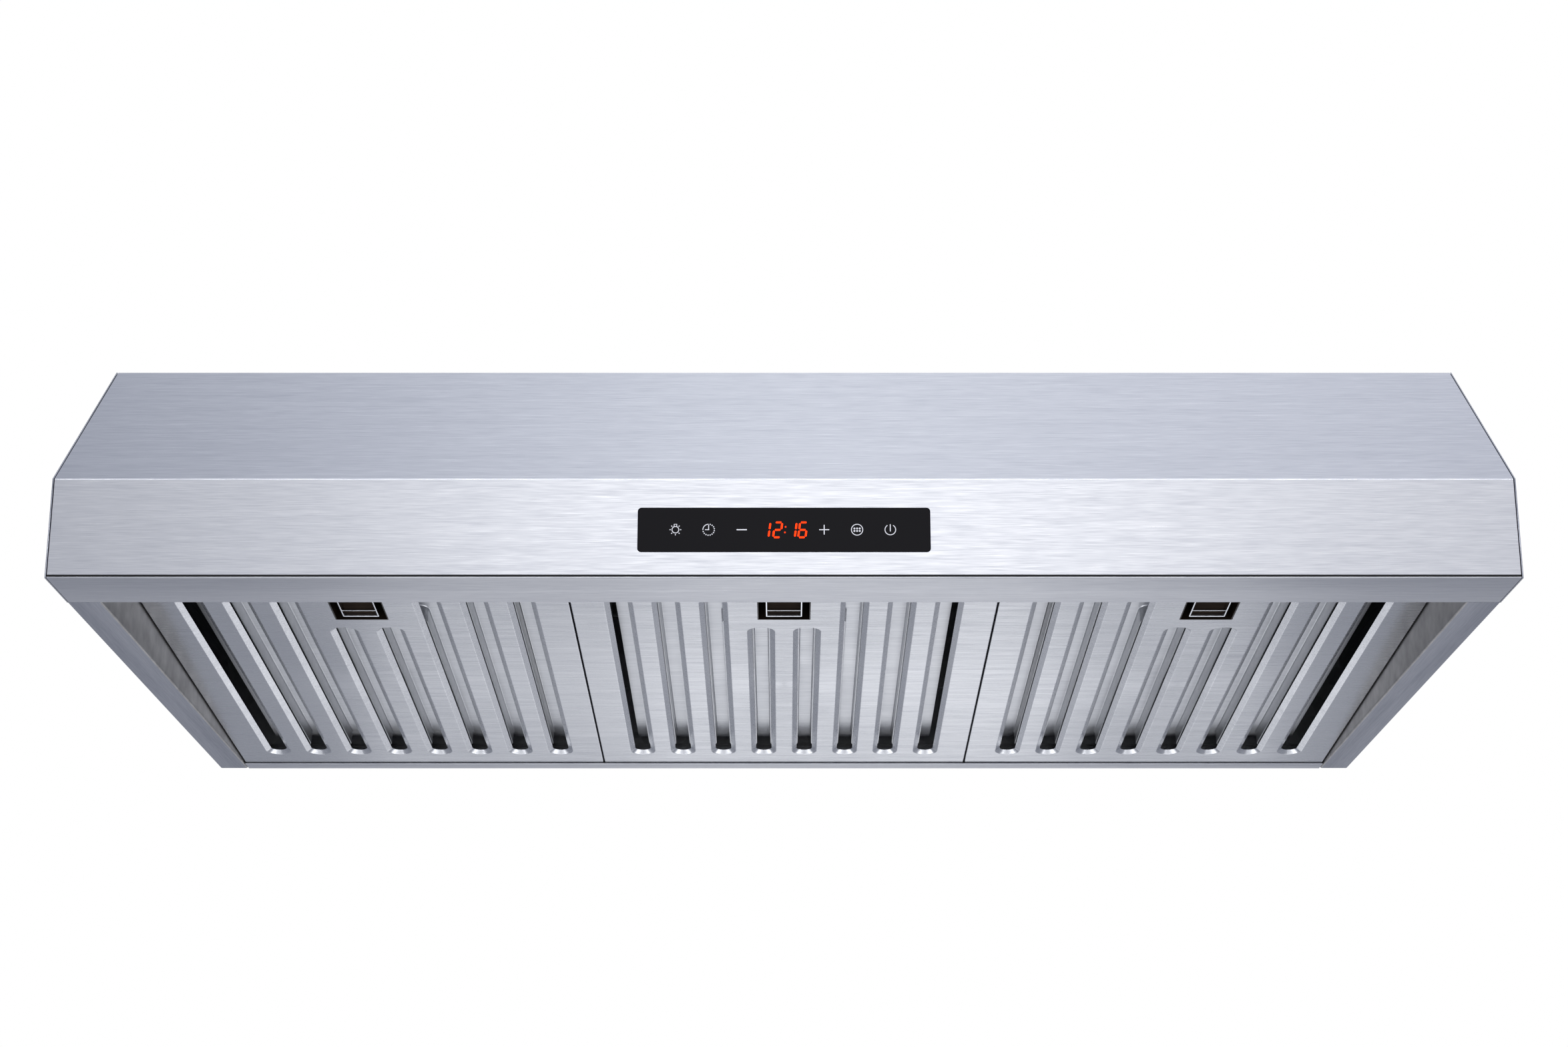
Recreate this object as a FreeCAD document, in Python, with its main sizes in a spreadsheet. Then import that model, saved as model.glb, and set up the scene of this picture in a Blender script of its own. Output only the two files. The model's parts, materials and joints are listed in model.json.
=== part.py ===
"""Under cabinet range hood, 36 inch width, as an assembly of separate pieces.

Frame, in millimetres: X to the right, Y to the rear, Z up. The origin is the centre of the
cabinet bolt pattern, on the upper face of the top plate. The hood hangs below it.
"""
import FreeCAD, Part
import math
import os
import Sketcher

# ---------------------------------------------------------------- driving dimensions
SIZES = {
    # canopy
    "width": 908, "depth": 551, "height": 184, "panel_rise": 64.4, "top_depth": 418,
    "sheet": 1.0, "bend": 2.5, "seam": 0.35, "panel_gap": 1.9,
    "lip_depth": 56, "lip_return": 8, "side_flange": 22.2, "side_return": 45,
    "weld_flange": 12, "rail_depth": 16.4, "rail_return": 12, "rail_end_gap": 0.6,
    # cabinet fixing, wiring entry and rear outlet
    "bolt_x": 660, "bolt_y": 300, "bolt_hole": 4, "bar_width": 34, "bar_thick": 3, "bar_end": 8,
    "rear_outlet_x": 254, "rear_outlet_z": 82.5, "rear_outlet_top": 22,
    "cover_margin": 13, "entry_x": 280, "entry_y": 150, "entry_hole": 11, "entry_bore": 6.5,
    "grommet_neck": 10.9, "grommet_rim": 15, "grommet_lip": 2,
    # light strip and lamps
    "strip_z": 29.1, "strip_front": 46, "strip_rear": 122.9, "strip_fold": 11,
    "lamp_x": 280, "lamp_y": 90, "lamp_hole": 28.5, "lamp_flange": 31, "lamp_body": 28,
    "lamp_wall": 1.2, "lamp_depth": 22, "lamp_rim": 2, "lens_thick": 2.5, "lens_radius": 26.6,
    "led_radius": 22, "led_thick": 1.6, "led_lift": 12, "keeper_gap": 1.5,
    # baffle filters, measured in the plane of the filter from its rear edge
    "filter_slope": 3.9, "ledge": 534.6, "filter_pitch": 287.6, "filter_width": 286.6,
    "filter_length": 412.9, "filter_overlap": 2.4, "filter_rest": 0.3, "filter_wall": 16,
    "filter_sheet": 0.8, "slot_pitch": 31.8, "slot_outer": 11, "slot_flare": 5,
    "slot_rise": 3, "slot_rear": 33.75, "slot_front": 379.5, "slot_short": 320.4,
    "web_half": 5, "baffle_lift": 14.4, "baffle_half": 115.2, "baffle_rear": 25.7,
    "rim_drop": 9.8, "rear_slot_rear": 40.5, "rear_slot_front": 375, "rear_slot_short": 329,
    "foot_width": 8,
    # filter latch
    "cup_half": 18, "cup_rear": 347.4, "cup_front": 392.5, "cup_roof": 13.6,
    "pull_half": 12.3, "pull_rear": 352.4, "pull_front": 388, "pull_low": 0.6,
    "pull_high": 7.2, "pull_rim": 1, "bolt_half": 6, "bolt_gap": 0.5, "bolt_tip": 411.4,
    "bolt_low": 3.8, "bolt_high": 6.4, "spring_radius": 1.9, "spring_wire": 0.4,
    "spring_lift": 10.2, "lug_front": 386, "lug_rear": 384, "lug_half": 2.9,
    # touch panel
    "glass_x": 180, "glass_z": 28, "glass_thick": 3, "glass_corner": 2, "glass_up": 31,
    "glass_gap": 0.25, "glass_seat": 2, "carrier_edge": 8, "carrier_depth": 16,
    "board_thick": 1.6, "board_edge": 3,
    "display_x": 30.2, "display_z": 14, "display_y": 6, "display_off": 1.4,
    # blower
    "axle_y": 57, "axle_z": -60, "scroll_half": 67, "scroll_start": 57, "scroll_step": 9,
    "outlet_front": 19, "wheel_radius": 50, "wheel_half": 60, "blade_root": 43.5,
    "blade_thick": 0.8, "blade_lean": 3, "blade_tip": 49.7, "wheel_ring": 2,
    "hub_radius": 9, "hub_half": 14, "inlet_radius": 42,
    "cheek_front": -42, "cheek_rear": 150, "cheek_low": -137, "shaft_radius": 4,
    "shaft_run": 0.05, "motor_radius": 38, "motor_near": 84, "motor_far": 132,
    "motor_wall": 2, "rotor_radius": 25, "rotor_gap": 8, "shaft_out": 6, "clamp": 14,
    "clamp_wall": 3.8, "clamp_run": 0.2, "bracket_back": 26, "arm_radius": 54,
    "arm_width": 12, "arm_thick": 2, "cap_radius": 16, "cap_length": 62, "cap_y": -18, "cap_z": -24,
    # duct collar and damper
    "collar_y": 109, "collar_radius": 76, "collar_wall": 0.8, "collar_top": 62,
    "collar_base": 190, "gasket": 1.5, "collar_screw": 85, "seat_radius": 73,
    "seat_z": 20, "seat_run": 0.1, "flap_radius": 74.2, "flap_thick": 0.8, "flap_gap": 0.3,
    "pin_radius": 1.5, "pin_run": 0.06, "pin_over": 2.8, "knuckle": 2.6, "pin_end": 75.9,
    "knuckle_half": 7, "knuckle_near": 8, "knuckle_far": 60, "web_near": 0.6, "web_far": 2.4,
    # electrics
    "box_x0": 160, "box_x1": 310, "box_y0": -150, "box_y1": -60, "box_drop": 40,
    "board_margin": 8, "board_stand": 5, "post_half": 3, "post_margin": 12,
    "relay_x": 20, "relay_y": 20, "relay_wide": 38, "relay_deep": 32, "relay_tall": 24,
    "coil_x": 72, "coil_step": 24, "coil_y": 18, "coil_wide": 18, "coil_deep": 22,
    "coil_tall": 16, "plug_x": 72, "plug_y": 52, "plug_wide": 44, "plug_deep": 14,
    "plug_tall": 12, "junction_x0": 200, "junction_x1": 310, "junction_y0": 112,
    "junction_y1": 192, "junction_drop": 52, "block_x": 12, "block_long": 60,
    "block_y": 8, "block_deep": 18, "block_tall": 14, "block_screw": 2.5,
    "block_pitch": 12, "block_hole": 7, "wire_radius": 3.5, "wire_z": -12,
    "wire_x": 166, "wire_y": 130, "wire_bend": 30,
    # sheet metal screws
    "screw_shank": 2, "screw_run": 0.2, "screw_head": 4, "screw_head_rise": 2.4,
    "screw_length": 9, "screw_root": 0.5, "weld_edge": 4,
}

FRONT = "(dims.top_depth / 2 - dims.depth)"
REAR = "(dims.top_depth / 2)"
HALF = "(dims.width / 2)"
BOTTOM = "(-dims.height)"
SKIN_HALF = "(dims.width / 2 - dims.sheet - dims.seam)"
SIDES = {"left": -1, "right": 1}
FILTERS = {"left": -1, "middle": 0, "right": 1}

doc = FreeCAD.newDocument("range_hood")
dims = doc.addObject("Spreadsheet::Sheet", "dims")
for row, (alias, value) in enumerate(SIZES.items(), start=1):
    dims.set(f"A{row}", alias)
    dims.set(f"B{row}", str(value))
    dims.setAlias(f"B{row}", alias)
doc.recompute()

pieces = []


# ---------------------------------------------------------------- modelling helpers
def number(expression):
    """Value of an expression on the dimension sheet."""
    return float(dims.evalExpression(str(expression)))


def new_body(label):
    """Start a piece of its own and list it for export."""
    body = doc.addObject("PartDesign::Body", label)
    body.Label = label
    pieces.append(body)
    return body


def sketch_on(body, role, offset="0", x="0", y="0"):
    """Sketch on an origin plane of the body, shifted along its own x, y and normal."""
    plane = next(f for f in body.Origin.OriginFeatures if f.Role == role)
    sketch = body.newObject("Sketcher::SketchObject", body.Name + "_sketch")
    sketch.AttachmentSupport = [(plane, "")]
    sketch.MapMode = "FlatFace"
    for axis, shift in (("x", x), ("y", y), ("z", offset)):
        sketch.setExpression(f"AttachmentOffset.Base.{axis}", shift)
    return sketch


def place_point(sketch, edge, end, corner, kinds=("DistanceX", "DistanceY")):
    """Hold one end of an edge at a corner given as two expressions."""
    for kind, expression in zip(("DistanceX", "DistanceY"), corner):
        if kind in kinds:
            value = number(expression)
            index = sketch.addConstraint(Sketcher.Constraint(kind, edge, end, value))
            sketch.setExpression(f"Constraints[{index}]", expression)


def outline(sketch, corners, arcs=None):
    """Closed outline through the corners. arcs maps a corner's index to the centre of the
    arc that leaves it, and whether that arc turns left."""
    arcs = arcs or {}
    points = [FreeCAD.Vector(number(a), number(b), 0) for a, b in corners]
    count = len(points)
    edges = []
    free = []
    for i, start in enumerate(points):
        stop = points[(i + 1) % count]
        ends, kinds = (1, 2), ("DistanceX", "DistanceY")
        if i in arcs:
            centre, left = arcs[i]
            middle = FreeCAD.Vector(number(centre[0]), number(centre[1]), 0)
            first, last = (start, stop) if left else (stop, start)
            angles = [math.atan2(p.y - middle.y, p.x - middle.x) for p in (first, last)]
            shape = Part.Circle(middle, FreeCAD.Vector(0, 0, 1), start.distanceToPoint(middle))
            edge = sketch.addGeometry(Part.ArcOfCircle(shape, *angles), False)
            place_point(sketch, edge, 3, centre)
            ends = (1, 2) if left else (2, 1)
            reach = stop - middle
            kinds = ("DistanceY",) if abs(reach.x) > abs(reach.y) else ("DistanceX",)
        else:
            edge = sketch.addGeometry(Part.LineSegment(start, stop), False)
        edges.append((edge, *ends))
        free.append(kinds)
    for i, (edge, begin, end) in enumerate(edges):
        follower, joined, _ = edges[(i + 1) % count]
        sketch.addConstraint(Sketcher.Constraint("Coincident", edge, end, follower, joined))
        place_point(sketch, edge, begin, corners[i], free[i - 1])


def rectangle(sketch, x, y):
    """Rectangle between low and high expressions along each sketch axis."""
    outline(sketch, [(x[0], y[0]), (x[1], y[0]), (x[1], y[1]), (x[0], y[1])])


def circle(sketch, radius, x="0", y="0"):
    """Circle with its centre and radius bound."""
    middle = FreeCAD.Vector(number(x), number(y), 0)
    shape = Part.Circle(middle, FreeCAD.Vector(0, 0, 1), number(radius))
    edge = sketch.addGeometry(shape, False)
    index = sketch.addConstraint(Sketcher.Constraint("Radius", edge, number(radius)))
    sketch.setExpression(f"Constraints[{index}]", radius)
    place_point(sketch, edge, 3, (x, y))


def round_slot(sketch, x, low, high, radius):
    """Round ended slot along the sketch's y axis, its arc centres at low and high."""
    left, right = f"{x} - {radius}", f"{x} + {radius}"
    outline(sketch, [(left, high), (left, low), (right, low), (right, high)],
            {1: ((x, low), True), 3: ((x, high), True)})


def pad(body, sketch, length, symmetric=False, reverse=False, taper=0):
    """Add material from a sketch."""
    feature = body.newObject("PartDesign::Pad", body.Name + "_pad")
    feature.Profile = sketch
    feature.SideType = "Symmetric" if symmetric else "One side"
    feature.Reversed = reverse
    feature.TaperAngle = taper
    feature.setExpression("Length", length)
    body.Tip = feature
    return feature


def pocket(body, sketch, length, symmetric=False, reverse=False, taper=0):
    """Remove material from a sketch; it must really remove some."""
    doc.recompute()
    before = body.Shape.Volume
    feature = body.newObject("PartDesign::Pocket", body.Name + "_pocket")
    feature.Profile = sketch
    feature.SideType = "Symmetric" if symmetric else "One side"
    feature.Reversed = reverse
    feature.TaperAngle = taper
    feature.setExpression("Length", length)
    body.Tip = feature
    doc.recompute()
    if body.Shape.Volume > before - 0.01:
        raise RuntimeError(f"{body.Label}: a pocket removes nothing")
    return feature


def revolve(body, sketch, axis="H_Axis"):
    """Full turn of a sketch about one of its own axes."""
    feature = body.newObject("PartDesign::Revolution", body.Name + "_turn")
    feature.Profile = sketch
    feature.ReferenceAxis = (sketch, [axis])
    feature.Angle = 360
    body.Tip = feature
    return feature


def around(body, feature, sketch, axis, count):
    """Repeat a feature evenly about a sketch axis."""
    doc.recompute()
    pattern = body.newObject("PartDesign::PolarPattern", body.Name + "_ring")
    pattern.Originals = [feature]
    pattern.Axis = (sketch, [axis])
    pattern.Angle = 360
    pattern.Occurrences = count
    body.Tip = pattern
    return pattern


def block(body, x, y, z):
    """Rectangular pad between low and high expressions along X, Y and Z."""
    sketch = sketch_on(body, "XY_Plane", offset=z[0])
    rectangle(sketch, x, y)
    return pad(body, sketch, f"({z[1]}) - ({z[0]})")


def hole(body, x, y, z):
    """Rectangular pocket between low and high expressions along X, Y and Z."""
    sketch = sketch_on(body, "XY_Plane", offset=z[1])
    rectangle(sketch, x, y)
    return pocket(body, sketch, f"({z[1]}) - ({z[0]})")


def span(side, inner, outer):
    """Low and high X of a strip that lies between two distances on one side of centre."""
    return (f"-({outer})", f"-({inner})") if side < 0 else (inner, outer)


def lathe(label, profile, y, z):
    """Turned piece about a line along X: profile points are distance along X and radius."""
    body = new_body(label)
    sketch = sketch_on(body, "XY_Plane", offset=z, y=y)
    outline(sketch, profile)
    revolve(body, sketch)
    return body


def post(label, profile, x, y):
    """Turned piece about an upright line: profile points are radius and height."""
    body = new_body(label)
    sketch = sketch_on(body, "XZ_Plane", offset=f"-({y})", x=x)
    outline(sketch, profile)
    revolve(body, sketch, "V_Axis")
    return body


# ---------------------------------------------------------------- canopy
def canopy_skin():
    """Top plate, slope and upright front panel, folded from one sheet."""
    body = new_body("canopy_skin")
    low = "dims.panel_gap - dims.height"
    crease = "dims.panel_rise - dims.height"
    sketch = sketch_on(body, "YZ_Plane")
    outline(sketch, [(FRONT, low), (REAR, low), (REAR, "0"),
                     ("-dims.top_depth / 2", "0"), (FRONT, crease)])
    solid = pad(body, sketch, f"2 * {SKIN_HALF}", symmetric=True)
    doc.recompute()
    bends = [(number(FRONT), number(crease)), (-number("dims.top_depth / 2"), 0)]
    names = []
    for index, edge in enumerate(solid.Shape.Edges, start=1):
        at = edge.CenterOfMass
        if abs(at.x) < 1 and any(abs(at.y - y) + abs(at.z - z) < 0.01 for y, z in bends):
            names.append(f"Edge{index}")
    fillet = body.newObject("PartDesign::Fillet", "canopy_bends")
    fillet.Base = (solid, names)
    fillet.setExpression("Radius", "dims.bend")
    body.Tip = fillet
    doc.recompute()
    open_faces = []
    for index, face in enumerate(fillet.Shape.Faces, start=1):
        at = face.CenterOfMass
        end = abs(at.x) > number(SKIN_HALF) - 1
        if end or at.z < number(low) + 0.01 or at.y > number(REAR) - 0.01:
            open_faces.append(f"Face{index}")
    shell = body.newObject("PartDesign::Thickness", "canopy_sheet")
    shell.Base = (fillet, open_faces)
    shell.Reversed = True
    shell.Join = "Intersection"
    shell.setExpression("Value", "dims.sheet")
    body.Tip = shell

    window = sketch_on(body, "XZ_Plane", offset=f"-{FRONT}")
    glass_outline(window, "dims.glass_gap")
    pocket(body, window, "3 * dims.sheet")
    top = sketch_on(body, "XY_Plane")
    outlet_front = "dims.axle_y + dims.outlet_front"
    outlet_rear = "dims.axle_y + dims.scroll_start + 3 * dims.scroll_step"
    rectangle(top, span_both("dims.scroll_half"), (outlet_front, outlet_rear))
    circle(top, "dims.entry_hole", "dims.entry_x", "dims.entry_y")
    for x in SIDES.values():
        for y in SIDES.values():
            circle(top, "dims.bolt_hole", f"{x} * dims.bolt_x / 2", f"{y} * dims.bolt_y / 2")
            circle(top, "dims.screw_shank + dims.screw_run", f"{x} * dims.collar_screw",
                   f"dims.collar_y + {y} * dims.collar_screw")
    pocket(body, top, "3 * dims.sheet")


def span_both(half):
    """Low and high of a strip centred on the middle plane."""
    return (f"-({half})", half)


def glass_outline(sketch, margin):
    """Rounded rectangle of the touch glass, grown by a margin, on an X and Z sketch."""
    half_x = f"(dims.glass_x / 2 + {margin})"
    half_z = f"(dims.glass_z / 2 + {margin})"
    corner = f"(dims.glass_corner + {margin})"
    middle = "(dims.glass_up - dims.height)"
    corners, arcs = [], {}
    for sx, sz, first in ((1, -1, "z"), (1, 1, "x"), (-1, 1, "z"), (-1, -1, "x")):
        centre = (f"{sx} * ({half_x} - {corner})", f"{middle} + {sz} * ({half_z} - {corner})")
        by_z = (centre[0], f"{middle} + {sz} * {half_z}")
        by_x = (f"{sx} * {half_x}", centre[1])
        arcs[len(corners)] = (centre, True)
        corners += [by_z, by_x] if first == "z" else [by_x, by_z]
    outline(sketch, corners, arcs)


def side_panel(name, side):
    """Side wall with its bottom flange, inner return and weld flanges."""
    body = new_body(f"{name}_side_panel")
    wall = sketch_on(body, "YZ_Plane", offset=f"{side} * {HALF}")
    outline(wall, [(FRONT, BOTTOM), (REAR, BOTTOM), (REAR, "0"), ("-dims.top_depth / 2", "0"),
                   (FRONT, "dims.panel_rise - dims.height")])
    pad(body, wall, "dims.sheet", reverse=side > 0)
    inner = f"{HALF} - dims.side_flange"
    lip_rear = f"{FRONT} + dims.lip_depth"
    behind = f"{REAR} - dims.sheet"
    block(body, span(side, inner, HALF), (lip_rear, REAR), (BOTTOM, f"{BOTTOM} + dims.sheet"))
    block(body, span(side, inner, f"{inner} + dims.sheet"), (lip_rear, behind),
          (BOTTOM, f"{BOTTOM} + dims.side_return"))
    weld = span(side, f"{HALF} - dims.weld_flange", HALF)
    block(body, weld, ("-dims.top_depth / 2 + dims.weld_edge", f"{REAR} - dims.weld_edge"),
          ("-2 * dims.sheet", "-dims.sheet"))
    block(body, weld, (f"{REAR} - 2 * dims.sheet", behind),
          (f"{BOTTOM} + dims.weld_edge", "-dims.weld_edge"))
    block(body, weld, (f"{FRONT} + dims.sheet", f"{FRONT} + 2 * dims.sheet"),
          (f"{BOTTOM} + dims.lip_return + dims.weld_edge",
           "dims.panel_rise - dims.height - dims.weld_edge"))


def back_panel():
    """Rear wall with the rectangular outlet that its cover plate closes."""
    body = new_body("back_panel")
    inner_half = f"({HALF} - dims.sheet)"
    block(body, span_both(inner_half), (f"{REAR} - dims.sheet", REAR),
          (f"{BOTTOM} + dims.sheet", "-dims.sheet"))
    opening = sketch_on(body, "XZ_Plane", offset=f"-{REAR}")
    rectangle(opening, span_both("dims.rear_outlet_x / 2"),
              ("-dims.rear_outlet_top - dims.rear_outlet_z", "-dims.rear_outlet_top"))
    pocket(body, opening, "3 * dims.sheet", symmetric=True)
    cover = new_body("rear_outlet_cover")
    block(cover, span_both("dims.rear_outlet_x / 2 + dims.cover_margin"),
          (f"{REAR} - 2 * dims.sheet", f"{REAR} - dims.sheet"),
          ("-dims.rear_outlet_top - dims.rear_outlet_z - dims.cover_margin",
           "-dims.rear_outlet_top + dims.cover_margin"))


def front_lip():
    """Bottom front sheet: its front edge shows below the panel, its folds stand inside."""
    body = new_body("front_lip")
    wide = span_both(SKIN_HALF)
    floor = (BOTTOM, f"{BOTTOM} + dims.sheet")
    rear = f"{FRONT} + dims.lip_depth"
    block(body, wide, (FRONT, rear), floor)
    behind_panel = f"{FRONT} + dims.sheet + dims.seam"
    block(body, wide, (behind_panel, f"{behind_panel} + dims.sheet"),
          (BOTTOM, f"{BOTTOM} + dims.lip_return"))
    block(body, span_both(f"{HALF} - dims.side_flange - dims.sheet"),
          (f"{rear} - dims.sheet", rear), (BOTTOM, f"{BOTTOM} + dims.strip_z"))


def rear_filter_rail():
    """Narrow folded rail that carries the rear edge of the filters."""
    body = new_body("rear_filter_rail")
    wide = span_both(f"{HALF} - dims.side_flange - dims.rail_end_gap")
    block(body, wide, (f"{REAR} - dims.rail_depth", REAR), (BOTTOM, f"{BOTTOM} + dims.sheet"))
    block(body, wide, (f"{REAR} - 2 * dims.sheet", f"{REAR} - dims.sheet"),
          (BOTTOM, f"{BOTTOM} + dims.rail_return"))


def mounting_bar(name, side):
    """Stiffening bar under the top plate, with two of the cabinet bolt holes."""
    body = new_body(f"mounting_bar_{name}")
    middle = f"{side} * dims.bolt_x / 2"
    block(body, (f"{middle} - dims.bar_width / 2", f"{middle} + dims.bar_width / 2"),
          span_both("dims.top_depth / 2 - dims.bar_end"),
          ("-dims.sheet - dims.bar_thick", "-dims.sheet"))
    holes = sketch_on(body, "XY_Plane")
    for y in SIDES.values():
        circle(holes, "dims.bolt_hole", middle, f"{y} * dims.bolt_y / 2")
    pocket(body, holes, "dims.sheet + 2 * dims.bar_thick")


def cable_grommet():
    """Rubber grommet in the wiring entry of the top plate."""
    low = "-dims.sheet - dims.grommet_lip"
    post("cable_grommet",
         [("dims.entry_bore", low), ("dims.grommet_rim", low),
          ("dims.grommet_rim", "-dims.sheet"), ("dims.grommet_neck", "-dims.sheet"),
          ("dims.grommet_neck", "0"), ("dims.grommet_rim", "0"),
          ("dims.grommet_rim", "dims.grommet_lip"), ("dims.entry_bore", "dims.grommet_lip")],
         "dims.entry_x", "dims.entry_y")


# ---------------------------------------------------------------- lights
def light_strip():
    """Sheet between lip and filters, with lamp holes and the keeper slots of the latches."""
    body = new_body("light_strip")
    level = f"{BOTTOM} + dims.strip_z"
    wide = span_both(f"{HALF} - dims.side_flange - 2 * dims.seam")
    rear = f"{FRONT} + dims.strip_rear"
    block(body, wide, (f"{FRONT} + dims.strip_front", rear), (level, f"{level} + dims.sheet"))
    block(body, wide, (f"{rear} - dims.sheet", rear), (level, f"{level} + dims.strip_fold"))
    holes = sketch_on(body, "XY_Plane", offset=f"{level} + dims.sheet")
    for side in SIDES.values():
        circle(holes, "dims.lamp_hole", f"{side} * dims.lamp_x", f"{FRONT} + dims.lamp_y")
    pocket(body, holes, "2 * dims.sheet")
    keepers = sketch_on(body, "XZ_Plane", offset=f"-({rear})")
    for place in FILTERS.values():
        middle = f"{place} * dims.filter_pitch"
        half = "(dims.bolt_half + dims.keeper_gap)"
        rectangle(keepers, (f"{middle} - {half}", f"{middle} + {half}"),
                  (f"{level} + dims.bolt_low - dims.keeper_gap",
                   f"{level} + dims.bolt_high + dims.keeper_gap"))
    pocket(body, keepers, "3 * dims.sheet", symmetric=True)


def lamp(name, side):
    """Round downlight: turned housing, frosted lens and LED board."""
    x, y = f"{side} * dims.lamp_x", f"{FRONT} + dims.lamp_y"
    level = f"{BOTTOM} + dims.strip_z"
    low, roof = f"{level} - dims.lamp_rim", f"{level} + dims.lamp_depth"
    inside = "dims.lamp_body - dims.lamp_wall"
    ceiling = f"{roof} - dims.lamp_wall"
    post(f"lamp_housing_{name}",
         [("0", ceiling), (inside, ceiling), (inside, low), ("dims.lamp_flange", low),
          ("dims.lamp_flange", level), ("dims.lamp_body", level), ("dims.lamp_body", roof),
          ("0", roof)], x, y)
    lens_top = f"{low} + dims.lens_thick"
    post(f"lamp_lens_{name}", [("0", low), ("dims.lens_radius", low),
                               ("dims.lens_radius", lens_top), ("0", lens_top)], x, y)
    board = f"{level} + dims.led_lift"
    chips, under = "dims.led_radius / 2", f"{board} - dims.led_thick"
    post(f"led_board_{name}",
         [("0", under), (chips, under), (chips, board), ("dims.led_radius", board),
          ("dims.led_radius", ceiling), ("0", ceiling)], x, y)


# ---------------------------------------------------------------- baffle filters
def lay_in_filter(body, place):
    """Put a piece drawn level, from the ledge forward, into its sloping place."""
    body.Placement = FreeCAD.Placement(
        FreeCAD.Vector(), FreeCAD.Rotation(FreeCAD.Vector(1, 0, 0), -number("dims.filter_slope")))
    body.setExpression("Placement.Base.x", f"{place} * dims.filter_pitch")
    body.setExpression("Placement.Base.y", f"{FRONT} + dims.ledge")
    body.setExpression("Placement.Base.z", f"{BOTTOM} + dims.sheet")


def slot_columns():
    """Sideways place of each of the eight slots, and whether it is a short one."""
    return [(f"({k} - 3.5) * dims.slot_pitch", k in (3, 4)) for k in range(8)]


def bolt_hole(body, rear, front):
    """Hole for the latch bolt through an upright wall."""
    hole(body, span_both("dims.bolt_half + dims.bolt_gap"), (front, rear),
         ("dims.bolt_low - dims.bolt_gap", "dims.bolt_high + dims.bolt_gap"))


def filter_tray(name, place):
    """Front sheet of a filter with folded edges and eight flared slots."""
    body = new_body(f"filter_tray_{name}")
    half = "dims.filter_width / 2"
    front = "(dims.filter_overlap - dims.filter_length)"
    low, sheet = "dims.filter_rest", "dims.filter_sheet"
    rear, roof = "dims.filter_overlap", f"{low} + dims.filter_wall"
    block(body, span_both(half), (front, rear), (low, roof))
    hole(body, span_both(f"{half} - {sheet}"), (f"{front} + {sheet}", f"{rear} - {sheet}"),
         (f"{low} + {sheet}", roof))
    lean = math.degrees(math.atan2(number("dims.slot_flare"), number("dims.slot_rise")))
    flare = sketch_on(body, "XY_Plane", offset=low)
    for x, short in slot_columns():
        reach = "-dims.slot_short" if short else "-dims.slot_front"
        round_slot(flare, x, reach, "-dims.slot_rear", "dims.slot_outer")
    pad(body, flare, "dims.slot_rise", taper=-lean)
    throat = sketch_on(body, "XY_Plane", offset=f"{low} + dims.slot_rise")
    mouth = f"(dims.slot_outer - dims.slot_flare - {sheet})"
    for x, short in slot_columns():
        reach = "-dims.slot_short" if short else "-dims.slot_front"
        round_slot(throat, x, reach, "-dims.slot_rear", mouth)
    pocket(body, throat, "dims.slot_rise", taper=lean)
    hole(body, span_both("dims.cup_half"), ("-dims.cup_front", "-dims.cup_rear"),
         ("0", f"{low} + 2 * {sheet}"))
    bolt_hole(body, f"{front} + 2 * {sheet}", f"{front} - {sheet}")
    lay_in_filter(body, place)


def baffle_slots(body, level, radius):
    """Sketch of the seven rear slots, the middle three of them short."""
    sketch = sketch_on(body, "XY_Plane", offset=level)
    for k in range(-3, 4):
        reach = "-dims.rear_slot_short" if abs(k) < 2 else "-dims.rear_slot_front"
        round_slot(sketch, f"{k} * dims.slot_pitch", reach, "-dims.rear_slot_rear", radius)
    return sketch


def filter_baffle(name, place):
    """Second plate of a filter: webs over the front slots, joined to hanging slot rims."""
    body = new_body(f"filter_baffle_{name}")
    sheet = "dims.filter_sheet"
    front = f"(dims.filter_overlap - dims.filter_length + {sheet})"
    under = f"dims.baffle_lift + {sheet}"
    block(body, span_both("dims.baffle_half"), (front, "-dims.baffle_rear"),
          ("dims.baffle_lift", under))
    outer = "(dims.slot_pitch / 2 - dims.web_half)"
    rims = baffle_slots(body, "dims.baffle_lift", outer)
    pad(body, rims, "dims.rim_drop", reverse=True)
    slots = baffle_slots(body, under, f"({outer} - {sheet})")
    pocket(body, slots, "2 * dims.rim_drop")
    foot_top = f"dims.baffle_lift - dims.rim_drop + {sheet}"
    rim_end = f"(-dims.rear_slot_rear + {outer} - {sheet})"
    for k in (-2, 0, 2):
        middle = f"{k} * dims.slot_pitch"
        block(body, (f"{middle} - dims.foot_width / 2", f"{middle} + dims.foot_width / 2"),
              (f"{rim_end} - {sheet}", f"{rim_end} + {sheet}"),
              (f"dims.filter_rest + {sheet}", foot_top))
    lay_in_filter(body, place)


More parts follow.
